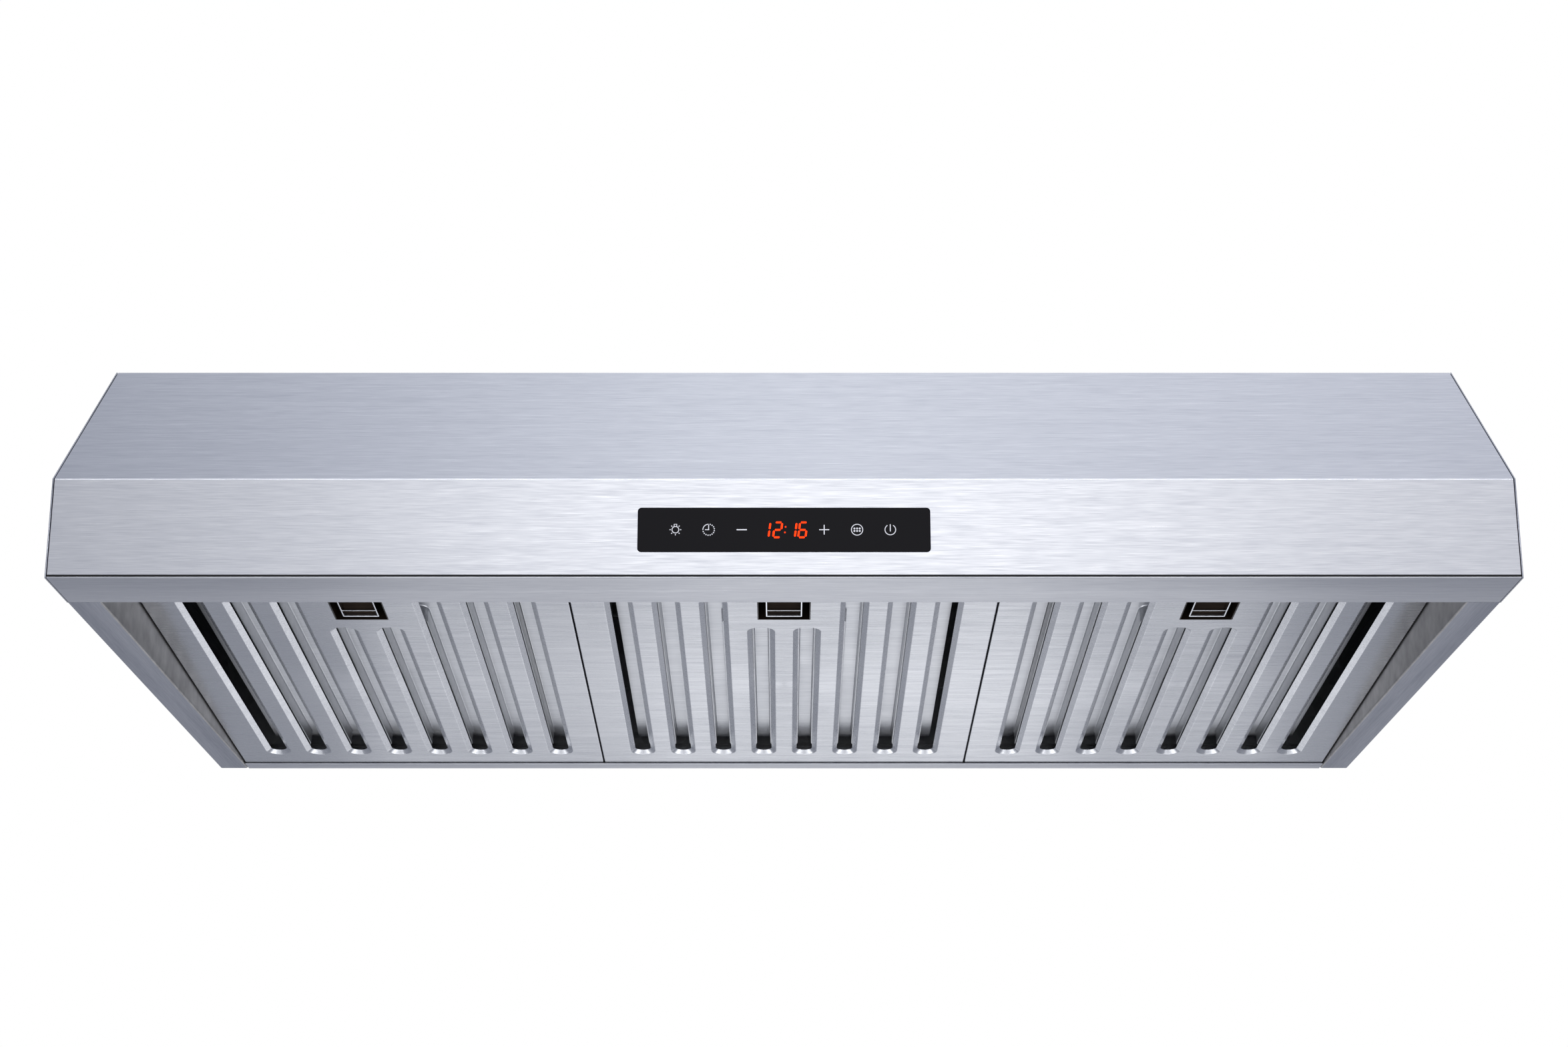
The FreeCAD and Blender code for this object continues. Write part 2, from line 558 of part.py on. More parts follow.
def latch(name, place):
    """Spring latch of a filter: cup, finger pull, bolt and spring."""
    sheet = "dims.filter_sheet"
    low = "dims.filter_rest"
    cup = new_body(f"latch_cup_{name}")
    front, rear = "-dims.cup_front", "-dims.cup_rear"
    block(cup, span_both("dims.cup_half"), (front, rear), (low, "dims.cup_roof"))
    hole(cup, span_both(f"dims.cup_half - {sheet}"), (f"{front} + {sheet}", f"{rear} - {sheet}"),
         ("0", f"dims.cup_roof - {sheet}"))
    bolt_hole(cup, f"{front} + 2 * {sheet}", f"{front} - {sheet}")
    lay_in_filter(cup, place)

    pull = new_body(f"latch_pull_{name}")
    block(pull, span_both("dims.pull_half"), ("-dims.pull_front", "-dims.pull_rear"),
          ("dims.pull_low", "dims.pull_high"))
    hole(pull, span_both("dims.pull_half - dims.pull_rim"),
         ("-dims.pull_front + dims.pull_rim", "-dims.pull_rear - dims.pull_rim"),
         ("0", "dims.pull_high - dims.pull_rim"))
    block(pull, span_both("dims.lug_half"), ("-dims.lug_front", "-dims.lug_rear"),
          ("dims.pull_high - dims.pull_rim / 2", "dims.spring_lift + dims.spring_radius"))
    lay_in_filter(pull, place)

    bolt = new_body(f"latch_bolt_{name}")
    block(bolt, span_both("dims.bolt_half"), ("-dims.bolt_tip", "-dims.pull_front"),
          ("dims.bolt_low", "dims.bolt_high"))
    lay_in_filter(bolt, place)

    spring = new_body(f"latch_spring_{name}")
    ring = sketch_on(spring, "XZ_Plane", offset="dims.lug_rear")
    circle(ring, "dims.spring_radius", "0", "dims.spring_lift")
    circle(ring, "dims.spring_radius - dims.spring_wire", "0", "dims.spring_lift")
    pad(spring, ring, f"dims.lug_rear - dims.cup_rear - {sheet}", reverse=True)
    lay_in_filter(spring, place)


# ---------------------------------------------------------------- touch panel
def touch_panel():
    """Glass, carrier, circuit board and clock display of the touch control."""
    glass = new_body("touch_glass")
    face = sketch_on(glass, "XZ_Plane", offset=f"-{FRONT}")
    glass_outline(face, "0")
    pad(glass, face, "dims.glass_thick", reverse=True)

    middle = f"(dims.glass_up + {BOTTOM})"
    edge_x = "dims.glass_x / 2 + dims.carrier_edge"
    edge_z = "(dims.glass_z / 2 + dims.carrier_edge)"
    start = f"{FRONT} + dims.sheet"
    seat = f"{FRONT} + dims.glass_thick"
    carrier = new_body("control_carrier")
    block(carrier, span_both(edge_x), (start, f"{start} + dims.carrier_depth"),
          (f"{middle} - {edge_z}", f"{middle} + {edge_z}"))
    recess = sketch_on(carrier, "XZ_Plane", offset=f"-({start})")
    glass_outline(recess, "dims.glass_gap")
    pocket(carrier, recess, "dims.glass_thick - dims.sheet")
    cavity = sketch_on(carrier, "XZ_Plane", offset=f"-({seat})")
    rectangle(cavity, span_both("dims.glass_x / 2 - dims.glass_seat"),
              (f"{middle} - dims.glass_z / 2 + dims.glass_seat",
               f"{middle} + dims.glass_z / 2 - dims.glass_seat"))
    pocket(carrier, cavity, "dims.carrier_depth - dims.glass_thick - dims.sheet")

    board_front = f"{seat} + dims.display_y"
    display = new_body("clock_display")
    block(display,
          ("dims.display_off - dims.display_x / 2", "dims.display_off + dims.display_x / 2"),
          (seat, board_front),
          (f"{middle} - dims.display_z / 2", f"{middle} + dims.display_z / 2"))
    board = new_body("touch_board")
    block(board, span_both("dims.glass_x / 2 - dims.board_edge"),
          (board_front, f"{board_front} + dims.board_thick"),
          (f"{middle} - dims.glass_z / 2 + dims.board_edge",
           f"{middle} + dims.glass_z / 2 - dims.board_edge"))


# ---------------------------------------------------------------- blower
def scroll_wrap():
    """Spiral wall of the blower: three arcs of growing radius and an upright outlet wall."""
    body = new_body("scroll_wrap")
    step, first, thick = "dims.scroll_step", "dims.scroll_start", "dims.sheet"
    roof = "(-dims.sheet - dims.axle_z)"
    lip = "dims.outlet_front"
    radius = [f"({first} + {k} * {step})" for k in range(3)]
    outer = [f"({r} + {thick})" for r in radius]
    rear = f"({step} + {radius[2]})"
    sketch = sketch_on(body, "YZ_Plane", x="dims.axle_y", y="dims.axle_z")
    corners = [
        (lip, outer[0]), ("0", outer[0]), (f"-{outer[0]}", "0"), (step, f"-{outer[1]}"),
        (f"{rear} + {thick}", step), (f"{rear} + {thick}", roof), (rear, roof), (rear, step),
        (step, f"-{radius[1]}"), (f"-{radius[0]}", "0"), ("0", radius[0]), (lip, radius[0])]
    arcs = {
        1: (("0", "0"), True), 2: ((step, "0"), True), 3: ((step, step), True),
        7: ((step, step), False), 8: ((step, "0"), False), 9: (("0", "0"), False)}
    outline(sketch, corners, arcs)
    pad(body, sketch, "2 * dims.scroll_half", symmetric=True)


def scroll_cheek(name, side):
    """End plate of the blower with its inlet collar and a flange to the top plate."""
    body = new_body(f"scroll_cheek_{name}")
    inner, outer = "dims.scroll_half", "dims.scroll_half + dims.sheet"
    block(body, span(side, inner, outer), ("dims.cheek_front", "dims.cheek_rear"),
          ("dims.cheek_low", "-dims.sheet"))
    block(body, span(side, inner, f"{outer} + dims.weld_flange"),
          ("dims.cheek_front", "dims.cheek_rear"), ("-2 * dims.sheet", "-dims.sheet"))
    ring = sketch_on(body, "YZ_Plane", offset=f"{side} * (dims.wheel_half + 1)",
                     x="dims.axle_y", y="dims.axle_z")
    circle(ring, "dims.inlet_radius")
    pad(body, ring, "dims.scroll_half - dims.wheel_half", reverse=side < 0)
    bore = sketch_on(body, "YZ_Plane", offset=f"{side} * dims.scroll_half",
                     x="dims.axle_y", y="dims.axle_z")
    circle(bore, "dims.inlet_radius - dims.sheet")
    pocket(body, bore, "4 * (dims.scroll_half - dims.wheel_half)", symmetric=True)


def impeller():
    """Double inlet wheel: hub, centre disc, two end rings and forward curved blades."""
    body = new_body("impeller")
    rim, root = "dims.wheel_radius", "dims.blade_root"
    disc = "dims.wheel_ring / 2"
    bore = "dims.shaft_radius"
    core = sketch_on(body, "XY_Plane", offset="dims.axle_z", y="dims.axle_y")
    outline(core, [("-dims.hub_half", bore), ("dims.hub_half", bore),
                   ("dims.hub_half", "dims.hub_radius"), (disc, "dims.hub_radius"),
                   (disc, rim), (f"-{disc}", rim), (f"-{disc}", "dims.hub_radius"),
                   ("-dims.hub_half", "dims.hub_radius")])
    revolve(body, core)
    blade = sketch_on(body, "YZ_Plane", x="dims.axle_y", y="dims.axle_z")
    outline(blade, [(root, "0"), ("dims.blade_tip", "dims.blade_lean"),
                    ("dims.blade_tip", "dims.blade_lean + dims.blade_thick"),
                    (root, "dims.blade_thick")])
    fin = pad(body, blade, "2 * dims.wheel_half - dims.wheel_ring", symmetric=True)
    around(body, fin, core, "H_Axis", 32)
    for side in SIDES.values():
        ring = sketch_on(body, "YZ_Plane", offset=f"{side} * dims.wheel_half",
                         x="dims.axle_y", y="dims.axle_z")
        circle(ring, rim)
        circle(ring, f"{root} - dims.blade_thick")
        pad(body, ring, "dims.wheel_ring", reverse=side > 0)


def motor():
    """Motor on the left of the blower: case, end cap, rotor with shaft, and bracket."""
    y, z = "dims.axle_y", "dims.axle_z"
    near, far, wall = "-dims.motor_near", "-dims.motor_far", "dims.motor_wall"
    radius, run = "dims.motor_radius", "dims.shaft_radius + dims.shaft_run"
    lathe("motor_case",
          [(near, run), (near, radius), (f"{far} + {wall}", radius),
           (f"{far} + {wall}", f"{radius} - {wall}"), (f"{near} - {wall}", f"{radius} - {wall}"),
           (f"{near} - {wall}", run)], y, z)
    lathe("motor_end_cap",
          [(far, run), (f"{far} + {wall}", run), (f"{far} + {wall}", radius), (far, radius)], y, z)
    core_near, core_far = f"{near} - dims.rotor_gap", f"{far} + dims.rotor_gap"
    shaft, shaft_end = "dims.shaft_radius", f"{far} - dims.shaft_out"
    lathe("motor_rotor",
          [(shaft_end, "0"), ("dims.hub_half", "0"), ("dims.hub_half", shaft),
           (core_near, shaft), (core_near, "dims.rotor_radius"), (core_far, "dims.rotor_radius"),
           (core_far, shaft), (shaft_end, shaft)], y, z)

    bracket = new_body("motor_bracket")
    back = f"({near} - dims.bracket_back)"
    bore = f"{radius} + dims.clamp_run"
    ring = sketch_on(bracket, "YZ_Plane", offset=back, x=y, y=z)
    circle(ring, f"{bore} + dims.clamp_wall")
    circle(ring, bore)
    pad(bracket, ring, "dims.clamp")
    arm = sketch_on(bracket, "XZ_Plane", offset=f"-{y}", y=z)
    outer, thick = "dims.arm_radius", "dims.arm_thick"
    cheek = "(-dims.scroll_half - dims.sheet)"
    foot = f"-{bore} - dims.clamp_wall / 2"
    outline(arm, [(back, foot), (back, f"-{outer}"), (cheek, f"-{outer}"),
                  (cheek, f"-{outer} + {thick}"), (f"{back} + {thick}", f"-{outer} + {thick}"),
                  (f"{back} + {thick}", foot)])
    leg = pad(bracket, arm, "dims.arm_width", symmetric=True)
    around(bracket, leg, arm, "H_Axis", 3)
    cap_end = f"{cheek} - dims.cap_length"
    lathe("run_capacitor", [(cap_end, "0"), (cheek, "0"), (cheek, "dims.cap_radius"),
                            (cap_end, "dims.cap_radius")], "dims.cap_y", "dims.cap_z")


# ---------------------------------------------------------------- duct collar and damper
FLAP_Z = "(dims.seat_z + dims.seat_run)"
PIN_Z = f"({FLAP_Z} + dims.flap_thick + dims.pin_over)"


def duct_collar():
    """Round collar on a square base, the gasket under it and the seat of the flaps."""
    half = "dims.collar_base / 2"
    y = (f"dims.collar_y - {half}", f"dims.collar_y + {half}")
    inside = "(dims.collar_radius - dims.collar_wall)"
    gasket = new_body("collar_gasket")
    block(gasket, span_both(half), y, ("0", "dims.gasket"))
    collar = new_body("duct_collar")
    block(collar, span_both(half), y, ("dims.gasket", "dims.gasket + dims.sheet"))
    neck = sketch_on(collar, "XY_Plane", offset="dims.gasket", y="dims.collar_y")
    circle(neck, "dims.collar_radius")
    pad(collar, neck, "dims.collar_top - dims.gasket")
    bore = sketch_on(collar, "XY_Plane", offset="dims.collar_top", y="dims.collar_y")
    circle(bore, inside)
    pocket(collar, bore, "2 * dims.collar_top")
    seat = sketch_on(collar, "XY_Plane", offset="dims.seat_z", y="dims.collar_y")
    circle(seat, f"{inside} + dims.collar_wall / 2")
    circle(seat, "dims.seat_radius")
    pad(collar, seat, "dims.sheet", reverse=True)
    pin_hole = sketch_on(collar, "YZ_Plane", x="dims.collar_y", y=PIN_Z)
    circle(pin_hole, "dims.pin_radius + dims.pin_run")
    pocket(collar, pin_hole, "3 * dims.collar_radius", symmetric=True)
    for body, top in ((gasket, "dims.gasket"), (collar, "dims.gasket + dims.sheet")):
        holes = sketch_on(body, "XY_Plane", offset=top, y="dims.collar_y")
        for sx in SIDES.values():
            for sy in SIDES.values():
                circle(holes, "dims.screw_shank + dims.screw_run",
                       f"{sx} * dims.collar_screw", f"{sy} * dims.collar_screw")
        if body is gasket:
            circle(holes, inside)
        pocket(body, holes, "4 * dims.gasket")


def damper():
    """Two half round flaps that lift about one cross pin."""
    pin = new_body("damper_pin")
    rod = sketch_on(pin, "YZ_Plane", offset="-dims.pin_end", x="dims.collar_y", y=PIN_Z)
    circle(rod, "dims.pin_radius")
    pad(pin, rod, "2 * dims.pin_end")
    near, far = "dims.knuckle_near", "dims.knuckle_far"
    for name, side, knuckles in (("front", -1, (f"-{far}", f"-{near}")),
                                 ("rear", 1, (near, far))):
        flap = new_body(f"damper_flap_{name}")
        plate = sketch_on(flap, "XY_Plane", offset=FLAP_Z, y="dims.collar_y")
        chord = f"{side} * dims.flap_gap"
        ends = [("-dims.flap_radius", chord), ("dims.flap_radius", chord)]
        apex = ("0", f"{side} * dims.flap_radius")
        half_arc = (("0", "0"), side > 0)
        outline(plate, [ends[0], ends[1], apex], {1: half_arc, 2: half_arc})
        pad(flap, plate, "dims.flap_thick")
        web = sorted((f"dims.collar_y + {side} * dims.web_near",
                      f"dims.collar_y + {side} * dims.web_far"), key=number)
        for middle in knuckles:
            x = (f"{middle} - dims.knuckle_half", f"{middle} + dims.knuckle_half")
            block(flap, x, web, (FLAP_Z, PIN_Z))
            tube = sketch_on(flap, "YZ_Plane", offset=x[0], x="dims.collar_y", y=PIN_Z)
            circle(tube, "dims.knuckle")
            pad(flap, tube, "2 * dims.knuckle_half")
        bore = sketch_on(flap, "YZ_Plane", x="dims.collar_y", y=PIN_Z)
        circle(bore, "dims.pin_radius + dims.pin_run")
        pocket(flap, bore, "3 * dims.flap_radius", symmetric=True)


# ---------------------------------------------------------------- electrics
def open_box(label, x, y, drop, wall="dims.sheet"):
    """Box open at the top, closed by the top plate it hangs from."""
    body = new_body(label)
    floor = f"-dims.sheet - {drop}"
    block(body, x, y, (floor, "-dims.sheet"))
    hole(body, (f"{x[0]} + {wall}", f"{x[1]} - {wall}"), (f"{y[0]} + {wall}", f"{y[1]} - {wall}"),
         (f"{floor} + {wall}", "-dims.sheet"))
    return body


def electrics():
    """Junction box, terminal block, power board in its box, and the wiring between them."""
    open_box("junction_box", ("dims.junction_x0", "dims.junction_x1"),
             ("dims.junction_y0", "dims.junction_y1"), "dims.junction_drop")
    floor = "(-dims.junction_drop)"
    block_top = f"{floor} + dims.block_tall"
    first_x, first_y = "dims.junction_x0 + dims.block_x", "dims.junction_y0 + dims.block_y"
    terminals = new_body("terminal_block")
    block(terminals, (first_x, f"{first_x} + dims.block_long"),
          (first_y, f"{first_y} + dims.block_deep"), (floor, block_top))
    screws = sketch_on(terminals, "XY_Plane", offset=block_top)
    for k in range(5):
        circle(screws, "dims.block_screw", f"{first_x} + ({k} + 0.5) * dims.block_pitch",
               f"{first_y} + dims.block_deep / 2")
    pocket(terminals, screws, "dims.block_hole")

    open_box("electronics_box", ("dims.box_x0", "dims.box_x1"), ("dims.box_y0", "dims.box_y1"),
             "dims.box_drop")
    base = "(-dims.box_drop)"
    under = f"{base} + dims.board_stand"
    board = new_body("power_board")
    block(board, ("dims.box_x0 + dims.board_margin", "dims.box_x1 - dims.board_margin"),
          ("dims.box_y0 + dims.board_margin", "dims.box_y1 - dims.board_margin"),
          (under, f"{under} + dims.board_thick"))
    for part, shift in (("relay", "0"), ("coil", "0"), ("coil", "dims.coil_step"), ("plug", "0")):
        x = f"dims.box_x0 + dims.{part}_x + {shift}"
        y = f"dims.box_y0 + dims.{part}_y"
        block(board, (x, f"{x} + dims.{part}_wide"), (y, f"{y} + dims.{part}_deep"),
              (under, f"{under} + dims.{part}_tall"))
    half, margin = "dims.post_half", "dims.post_margin"
    for x in (f"dims.box_x0 + {margin}", f"dims.box_x1 - {margin}"):
        for y in (f"dims.box_y0 + {margin}", f"dims.box_y1 - {margin}"):
            block(board, (f"{x} - {half}", f"{x} + {half}"), (f"{y} - {half}", f"{y} + {half}"),
                  (base, under))
    wiring()


def wiring():
    """Sleeved harness from the junction box to the power board box, in one bend."""
    body = new_body("wiring_harness")
    radius = "dims.wire_bend"
    corner = (f"dims.wire_x + {radius}", f"dims.wire_y - {radius}")
    stations = [("dims.junction_x0", "dims.wire_y"), (corner[0], "dims.wire_y"),
                ("dims.wire_x", corner[1]), ("dims.wire_x", "dims.box_y1")]
    first, rise, fall, last, middle = [
        FreeCAD.Vector(number(a), number(b), 0) for a, b in (*stations, corner)]
    path = sketch_on(body, "XY_Plane", offset="dims.wire_z")
    turn = Part.Circle(middle, FreeCAD.Vector(0, 0, 1), number(radius))
    path.addGeometry([Part.LineSegment(first, rise),
                      Part.ArcOfCircle(turn, math.pi / 2, math.pi),
                      Part.LineSegment(fall, last)], False)
    path.addConstraint(Sketcher.Constraint("Coincident", 0, 2, 1, 1))
    path.addConstraint(Sketcher.Constraint("Coincident", 1, 2, 2, 1))
    place_point(path, 0, 1, stations[0])
    place_point(path, 0, 2, stations[1])
    place_point(path, 1, 3, corner)
    place_point(path, 2, 1, stations[2], ("DistanceY",))
    place_point(path, 2, 2, stations[3])
    section = sketch_on(body, "YZ_Plane", offset="dims.junction_x0", x="dims.wire_y",
                        y="dims.wire_z")
    circle(section, "dims.wire_radius")
    pipe = body.newObject("PartDesign::AdditivePipe", "wiring_pipe")
    pipe.Profile = section
    pipe.Spine = (path, ["Edge1", "Edge2", "Edge3"])
    body.Tip = pipe


def collar_screws():
    """Four pan head sheet metal screws that hold the collar."""
    heads = []
    top = "dims.gasket + dims.sheet"
    for sx in SIDES.values():
        for sy in SIDES.values():
            for radius, base, rise in (("dims.screw_head", top, "dims.screw_head_rise"),
                                       ("dims.screw_shank", f"{top} - dims.screw_length",
                                        "dims.screw_length + dims.screw_root")):
                part = doc.addObject("Part::Cylinder", "screw_part")
                part.setExpression("Radius", radius)
                part.setExpression("Height", rise)
                part.setExpression("Placement.Base.x", f"{sx} * dims.collar_screw")
                part.setExpression("Placement.Base.y", f"dims.collar_y + {sy} * dims.collar_screw")
                part.setExpression("Placement.Base.z", base)
                heads.append(part)
    group = doc.addObject("Part::MultiFuse", "collar_screws")
    group.Shapes = heads
    group.Label = "collar_screws"
    pieces.append(group)


# ---------------------------------------------------------------- assembly
canopy_skin()
back_panel()
front_lip()
rear_filter_rail()
cable_grommet()
light_strip()
for name, side in SIDES.items():
    side_panel(name, side)
    mounting_bar(name, side)
    lamp(name, side)
    scroll_cheek(name, side)
for name, place in FILTERS.items():
    filter_tray(name, place)
    filter_baffle(name, place)
    latch(name, place)
touch_panel()
scroll_wrap()
impeller()
motor()
duct_collar()
damper()
electrics()
collar_screws()
doc.recompute()

# ---------------------------------------------------------------- check and export
for item in doc.Objects:
    if {"Invalid", "Error"} & set(item.State):
        raise RuntimeError(f"{item.Label}: {item.State}")
os.makedirs("parts", exist_ok=True)
for piece in pieces:
    if piece.Shape.isNull() or not piece.Shape.isValid():
        raise RuntimeError(f"{piece.Label}: no valid shape")
    if not piece.Shape.Solids:
        raise RuntimeError(f"{piece.Label}: no solid")
    piece.Shape.exportStep(f"parts/{piece.Label}.step")
print(len(pieces), "pieces written")
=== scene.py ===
import json
import math

import bmesh
import bpy
from bpy.props import FloatProperty, FloatVectorProperty, IntProperty, PointerProperty
from mathutils import Matrix, Vector


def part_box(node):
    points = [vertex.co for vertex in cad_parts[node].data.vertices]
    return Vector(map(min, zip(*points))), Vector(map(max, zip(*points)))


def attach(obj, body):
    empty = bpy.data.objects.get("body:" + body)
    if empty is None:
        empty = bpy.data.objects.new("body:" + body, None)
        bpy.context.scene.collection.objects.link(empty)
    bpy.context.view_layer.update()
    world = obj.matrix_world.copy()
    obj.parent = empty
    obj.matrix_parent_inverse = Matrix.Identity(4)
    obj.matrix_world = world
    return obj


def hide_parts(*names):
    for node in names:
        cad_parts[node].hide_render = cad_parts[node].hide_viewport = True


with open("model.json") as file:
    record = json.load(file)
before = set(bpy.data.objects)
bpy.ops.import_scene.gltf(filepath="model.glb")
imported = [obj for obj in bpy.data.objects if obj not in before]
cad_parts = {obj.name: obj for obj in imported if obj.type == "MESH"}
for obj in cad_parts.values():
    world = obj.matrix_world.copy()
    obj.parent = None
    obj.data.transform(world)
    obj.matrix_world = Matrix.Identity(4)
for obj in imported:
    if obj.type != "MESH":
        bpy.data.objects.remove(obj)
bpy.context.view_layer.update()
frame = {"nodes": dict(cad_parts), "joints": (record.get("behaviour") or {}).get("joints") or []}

bl_info = {
    "name": "Under cabinet range hood",
    "version": (1, 0, 0),
    "blender": (4, 5, 0),
    "location": "3D View > Sidebar > Hood",
    "description": "Builds the visible pieces of a stainless range hood around its packed frame",
    "category": "Object",
}

MM = 0.001
SAME_POINT = 1e-6
THREE = ("left", "middle", "right")
SHEET_STEEL = ("canopy", "brushed_stainless")

SKIN_LOW, SKIN_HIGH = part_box("canopy_skin")
LIP_LOW, LIP_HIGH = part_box("front_lip")
RAIL_LOW, RAIL_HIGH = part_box("rear_filter_rail")
STRIP_LOW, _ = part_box("light_strip")
GLASS_LOW, GLASS_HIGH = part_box("touch_glass")
COLLAR_LOW, COLLAR_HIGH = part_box("duct_collar")
JOINTS = {joint["name"]: joint for joint in frame["joints"]}
FILTER_TILT = -math.atan2(-JOINTS["latch_middle_slide"]["axis"][2],
                          JOINTS["latch_middle_slide"]["axis"][1])

FRONT, REAR = SKIN_LOW.y, SKIN_HIGH.y
BOTTOM = LIP_LOW.z

# holes of the top plate: four bolts, the cable and the outlet of the scroll
BOLT_X, BOLT_Y, BOLT_HOLE = 330 * MM, 150 * MM, 4 * MM
CABLE_HOLE, OUTLET_DEPTH = 11 * MM, 66 * MM
COLLAR_RADIUS, COLLAR_WALL, CRIMP = 76 * MM, 0.8 * MM, 16 * MM
SCREW_HEAD, SCREW_RISE = 4 * MM, 2.4 * MM
BLADE_COUNT, PRINT_DEPTH = 40, 0.04 * MM

# places in a filter's own plane, measured from its pivot
TRAY_FRONT, TRAY_REAR = -410.5 * MM, 2.4 * MM
SLOT_FRONT, SHORT_SLOT_FRONT, SLOT_REAR = -380.5 * MM, -321.4 * MM, -32.75 * MM
WINDOW_HALF, WINDOW_FRONT, WINDOW_REAR = 18.1 * MM, -392.6 * MM, -347.3 * MM
TRAY_LIFT, TRAY_WALL = 0.3 * MM, 15.2 * MM
BAFFLE_HALF, BAFFLE_FRONT, BAFFLE_REAR = 115.2 * MM, -409.6 * MM, -25.7 * MM
BAFFLE_LIFT = 14.4 * MM
CUP_HALF, CUP_FRONT, CUP_REAR = 18 * MM, -392.5 * MM, -347.4 * MM
PULL_HALF, PULL_FRONT, PULL_REAR = 12.3 * MM, -388 * MM, -352.4 * MM


# ---------------------------------------------------------------- user settings
def length(label, text, value):
    """Length setting with its default in millimetres."""
    return FloatProperty(name=label, description=text, default=value * MM, unit="LENGTH")


class HoodSizes(bpy.types.PropertyGroup):
    """Sizes of the sheet metal and of the filters, in metres."""
    sheet: length("Sheet", "Thickness of the canopy sheet", 1.0)
    bend: length("Bend", "Outer radius of the canopy's two bends", 2.5)
    fold: length("Fold", "Outer radius of the folded bottom edges", 1.6)
    edge: length("Edge", "Deburred edge of cut sheet", 0.25)
    slope_run: length("Slope run", "Depth of the sloping front", 133)
    slope_rise: length("Slope rise", "Height of the sloping front", 119.6)
    filter_sheet: length("Filter sheet", "Thickness of filter sheet", 0.8)
    slot_count: IntProperty(name="Slots", description="Air slots in one filter", default=8)
    slot_pitch: length("Slot pitch", "Distance between air slots", 31.8)
    slot_radius: length("Slot radius", "Half width of a slot's flare", 10)
    icon_line: length("Icon line", "Line width of the lit icons", 0.5)
    digit: length("Digit height", "Height of the clock's digits", 9.6)


def colour_property(label, hex_text):
    """Colour setting with its default given as an sRGB hex value."""
    return FloatVectorProperty(name=label, description=label + " colour", size=3, min=0, max=1,
                               subtype="COLOR", default=linear(hex_text)[:3])


def linear(hex_text):
    """sRGB hex colour as linear RGBA."""
    parts = [int(hex_text[i:i + 2], 16) / 255 for i in (0, 2, 4)]
    curve = [p / 12.92 if p <= 0.04045 else ((p + 0.055) / 1.055) ** 2.4 for p in parts]
    return (*curve, 1.0)


class HoodColours(bpy.types.PropertyGroup):
    """Colours that a user would change."""
    steel: colour_property("Brushed steel", "CFD0D3")
    steel_dark: colour_property("Brushed steel grain", "B3B5BB")
    icon: colour_property("Lit icons", "F2F4FF")
    clock: colour_property("Clock digits", "FF3A12")
    floor: colour_property("Floor", "B6B7BA")


def sizes():
    """The scene's size settings."""
    return bpy.context.scene.hood_sizes


def colours():
    """The scene's colour settings."""
    return bpy.context.scene.hood_colours


# ---------------------------------------------------------------- materials
def add(tree, kind, inputs=None, **settings):
    """Add a node with its settings; each input is a value or an output socket to link."""
    node = tree.nodes.new(kind)
    for key, value in settings.items():
        setattr(node, key, value)
    for key, value in (inputs or {}).items():
        if isinstance(value, bpy.types.NodeSocket):
            tree.links.new(value, node.inputs[key])
        else:
            node.inputs[key].default_value = value
    return node


def blank(name):
    """New empty node material and its tree."""
    material = bpy.data.materials.new(name)
    material.use_nodes = True
    material.node_tree.nodes.clear()
    return material, material.node_tree


def coated(material, inputs, kind="ShaderNodeBsdfPrincipled"):
    """Give a material one shader with these inputs as its surface."""
    shader = add(material.node_tree, kind, inputs)
    add(material.node_tree, "ShaderNodeOutputMaterial", {"Surface": shader.outputs[0]})
    return material


def once(maker):
    """Make each material only once."""
    made = {}

    def keeper(*options):
        if options not in made:
            made[options] = maker(*options)
        return made[options]
    return keeper


def streaks(tree, size_mm, detail, seed):
    """Noise stretched by a size in millimetres along each axis."""
    place = add(tree, "ShaderNodeTexCoord").outputs["Object"]
    scale = [1 / (value * MM) for value in size_mm]
    spread = add(tree, "ShaderNodeMapping", {"Vector": place, "Scale": scale,
                                             "Location": (seed, seed * 0.7, seed * 1.3)})
    return add(tree, "ShaderNodeTexNoise", {"Vector": spread.outputs[0], "Scale": 1.0,
                                            "Detail": detail, "Roughness": 0.6}).outputs["Fac"]


def ranged(tree, value, low, high, from_low=0.3, from_high=0.7):
    """Map a noise value to a range."""
    return add(tree, "ShaderNodeMapRange", {"Value": value, "From Min": from_low,
                                            "From Max": from_high, "To Min": low,
                                            "To Max": high}).outputs["Result"]


def mixed(tree, factor, first, second, blend="MIX"):
    """Blend of two colours."""
    return add(tree, "ShaderNodeMix", {"Factor": factor, "A": first, "B": second},
               data_type="RGBA", blend_type=blend).outputs["Result"]


def bumped(tree, height, strength):
    """Normal of a fine relief."""
    return add(tree, "ShaderNodeBump", {"Height": height, "Strength": strength,
                                        "Distance": 0.05 * MM}).outputs["Normal"]


def ramp(tree, value, stops):
    """Colour ramp through stops of position and sRGB hex colour."""
    node = add(tree, "ShaderNodeValToRGB", {"Fac": value})
    points = node.color_ramp.elements
    while len(points) < len(stops):
        points.new(0.5)
    for point, (position, _) in zip(points, stops):
        point.position = position
    for point, (_, hex_text) in zip(points, stops):
        point.color = linear(hex_text)
    return node.outputs["Color"]


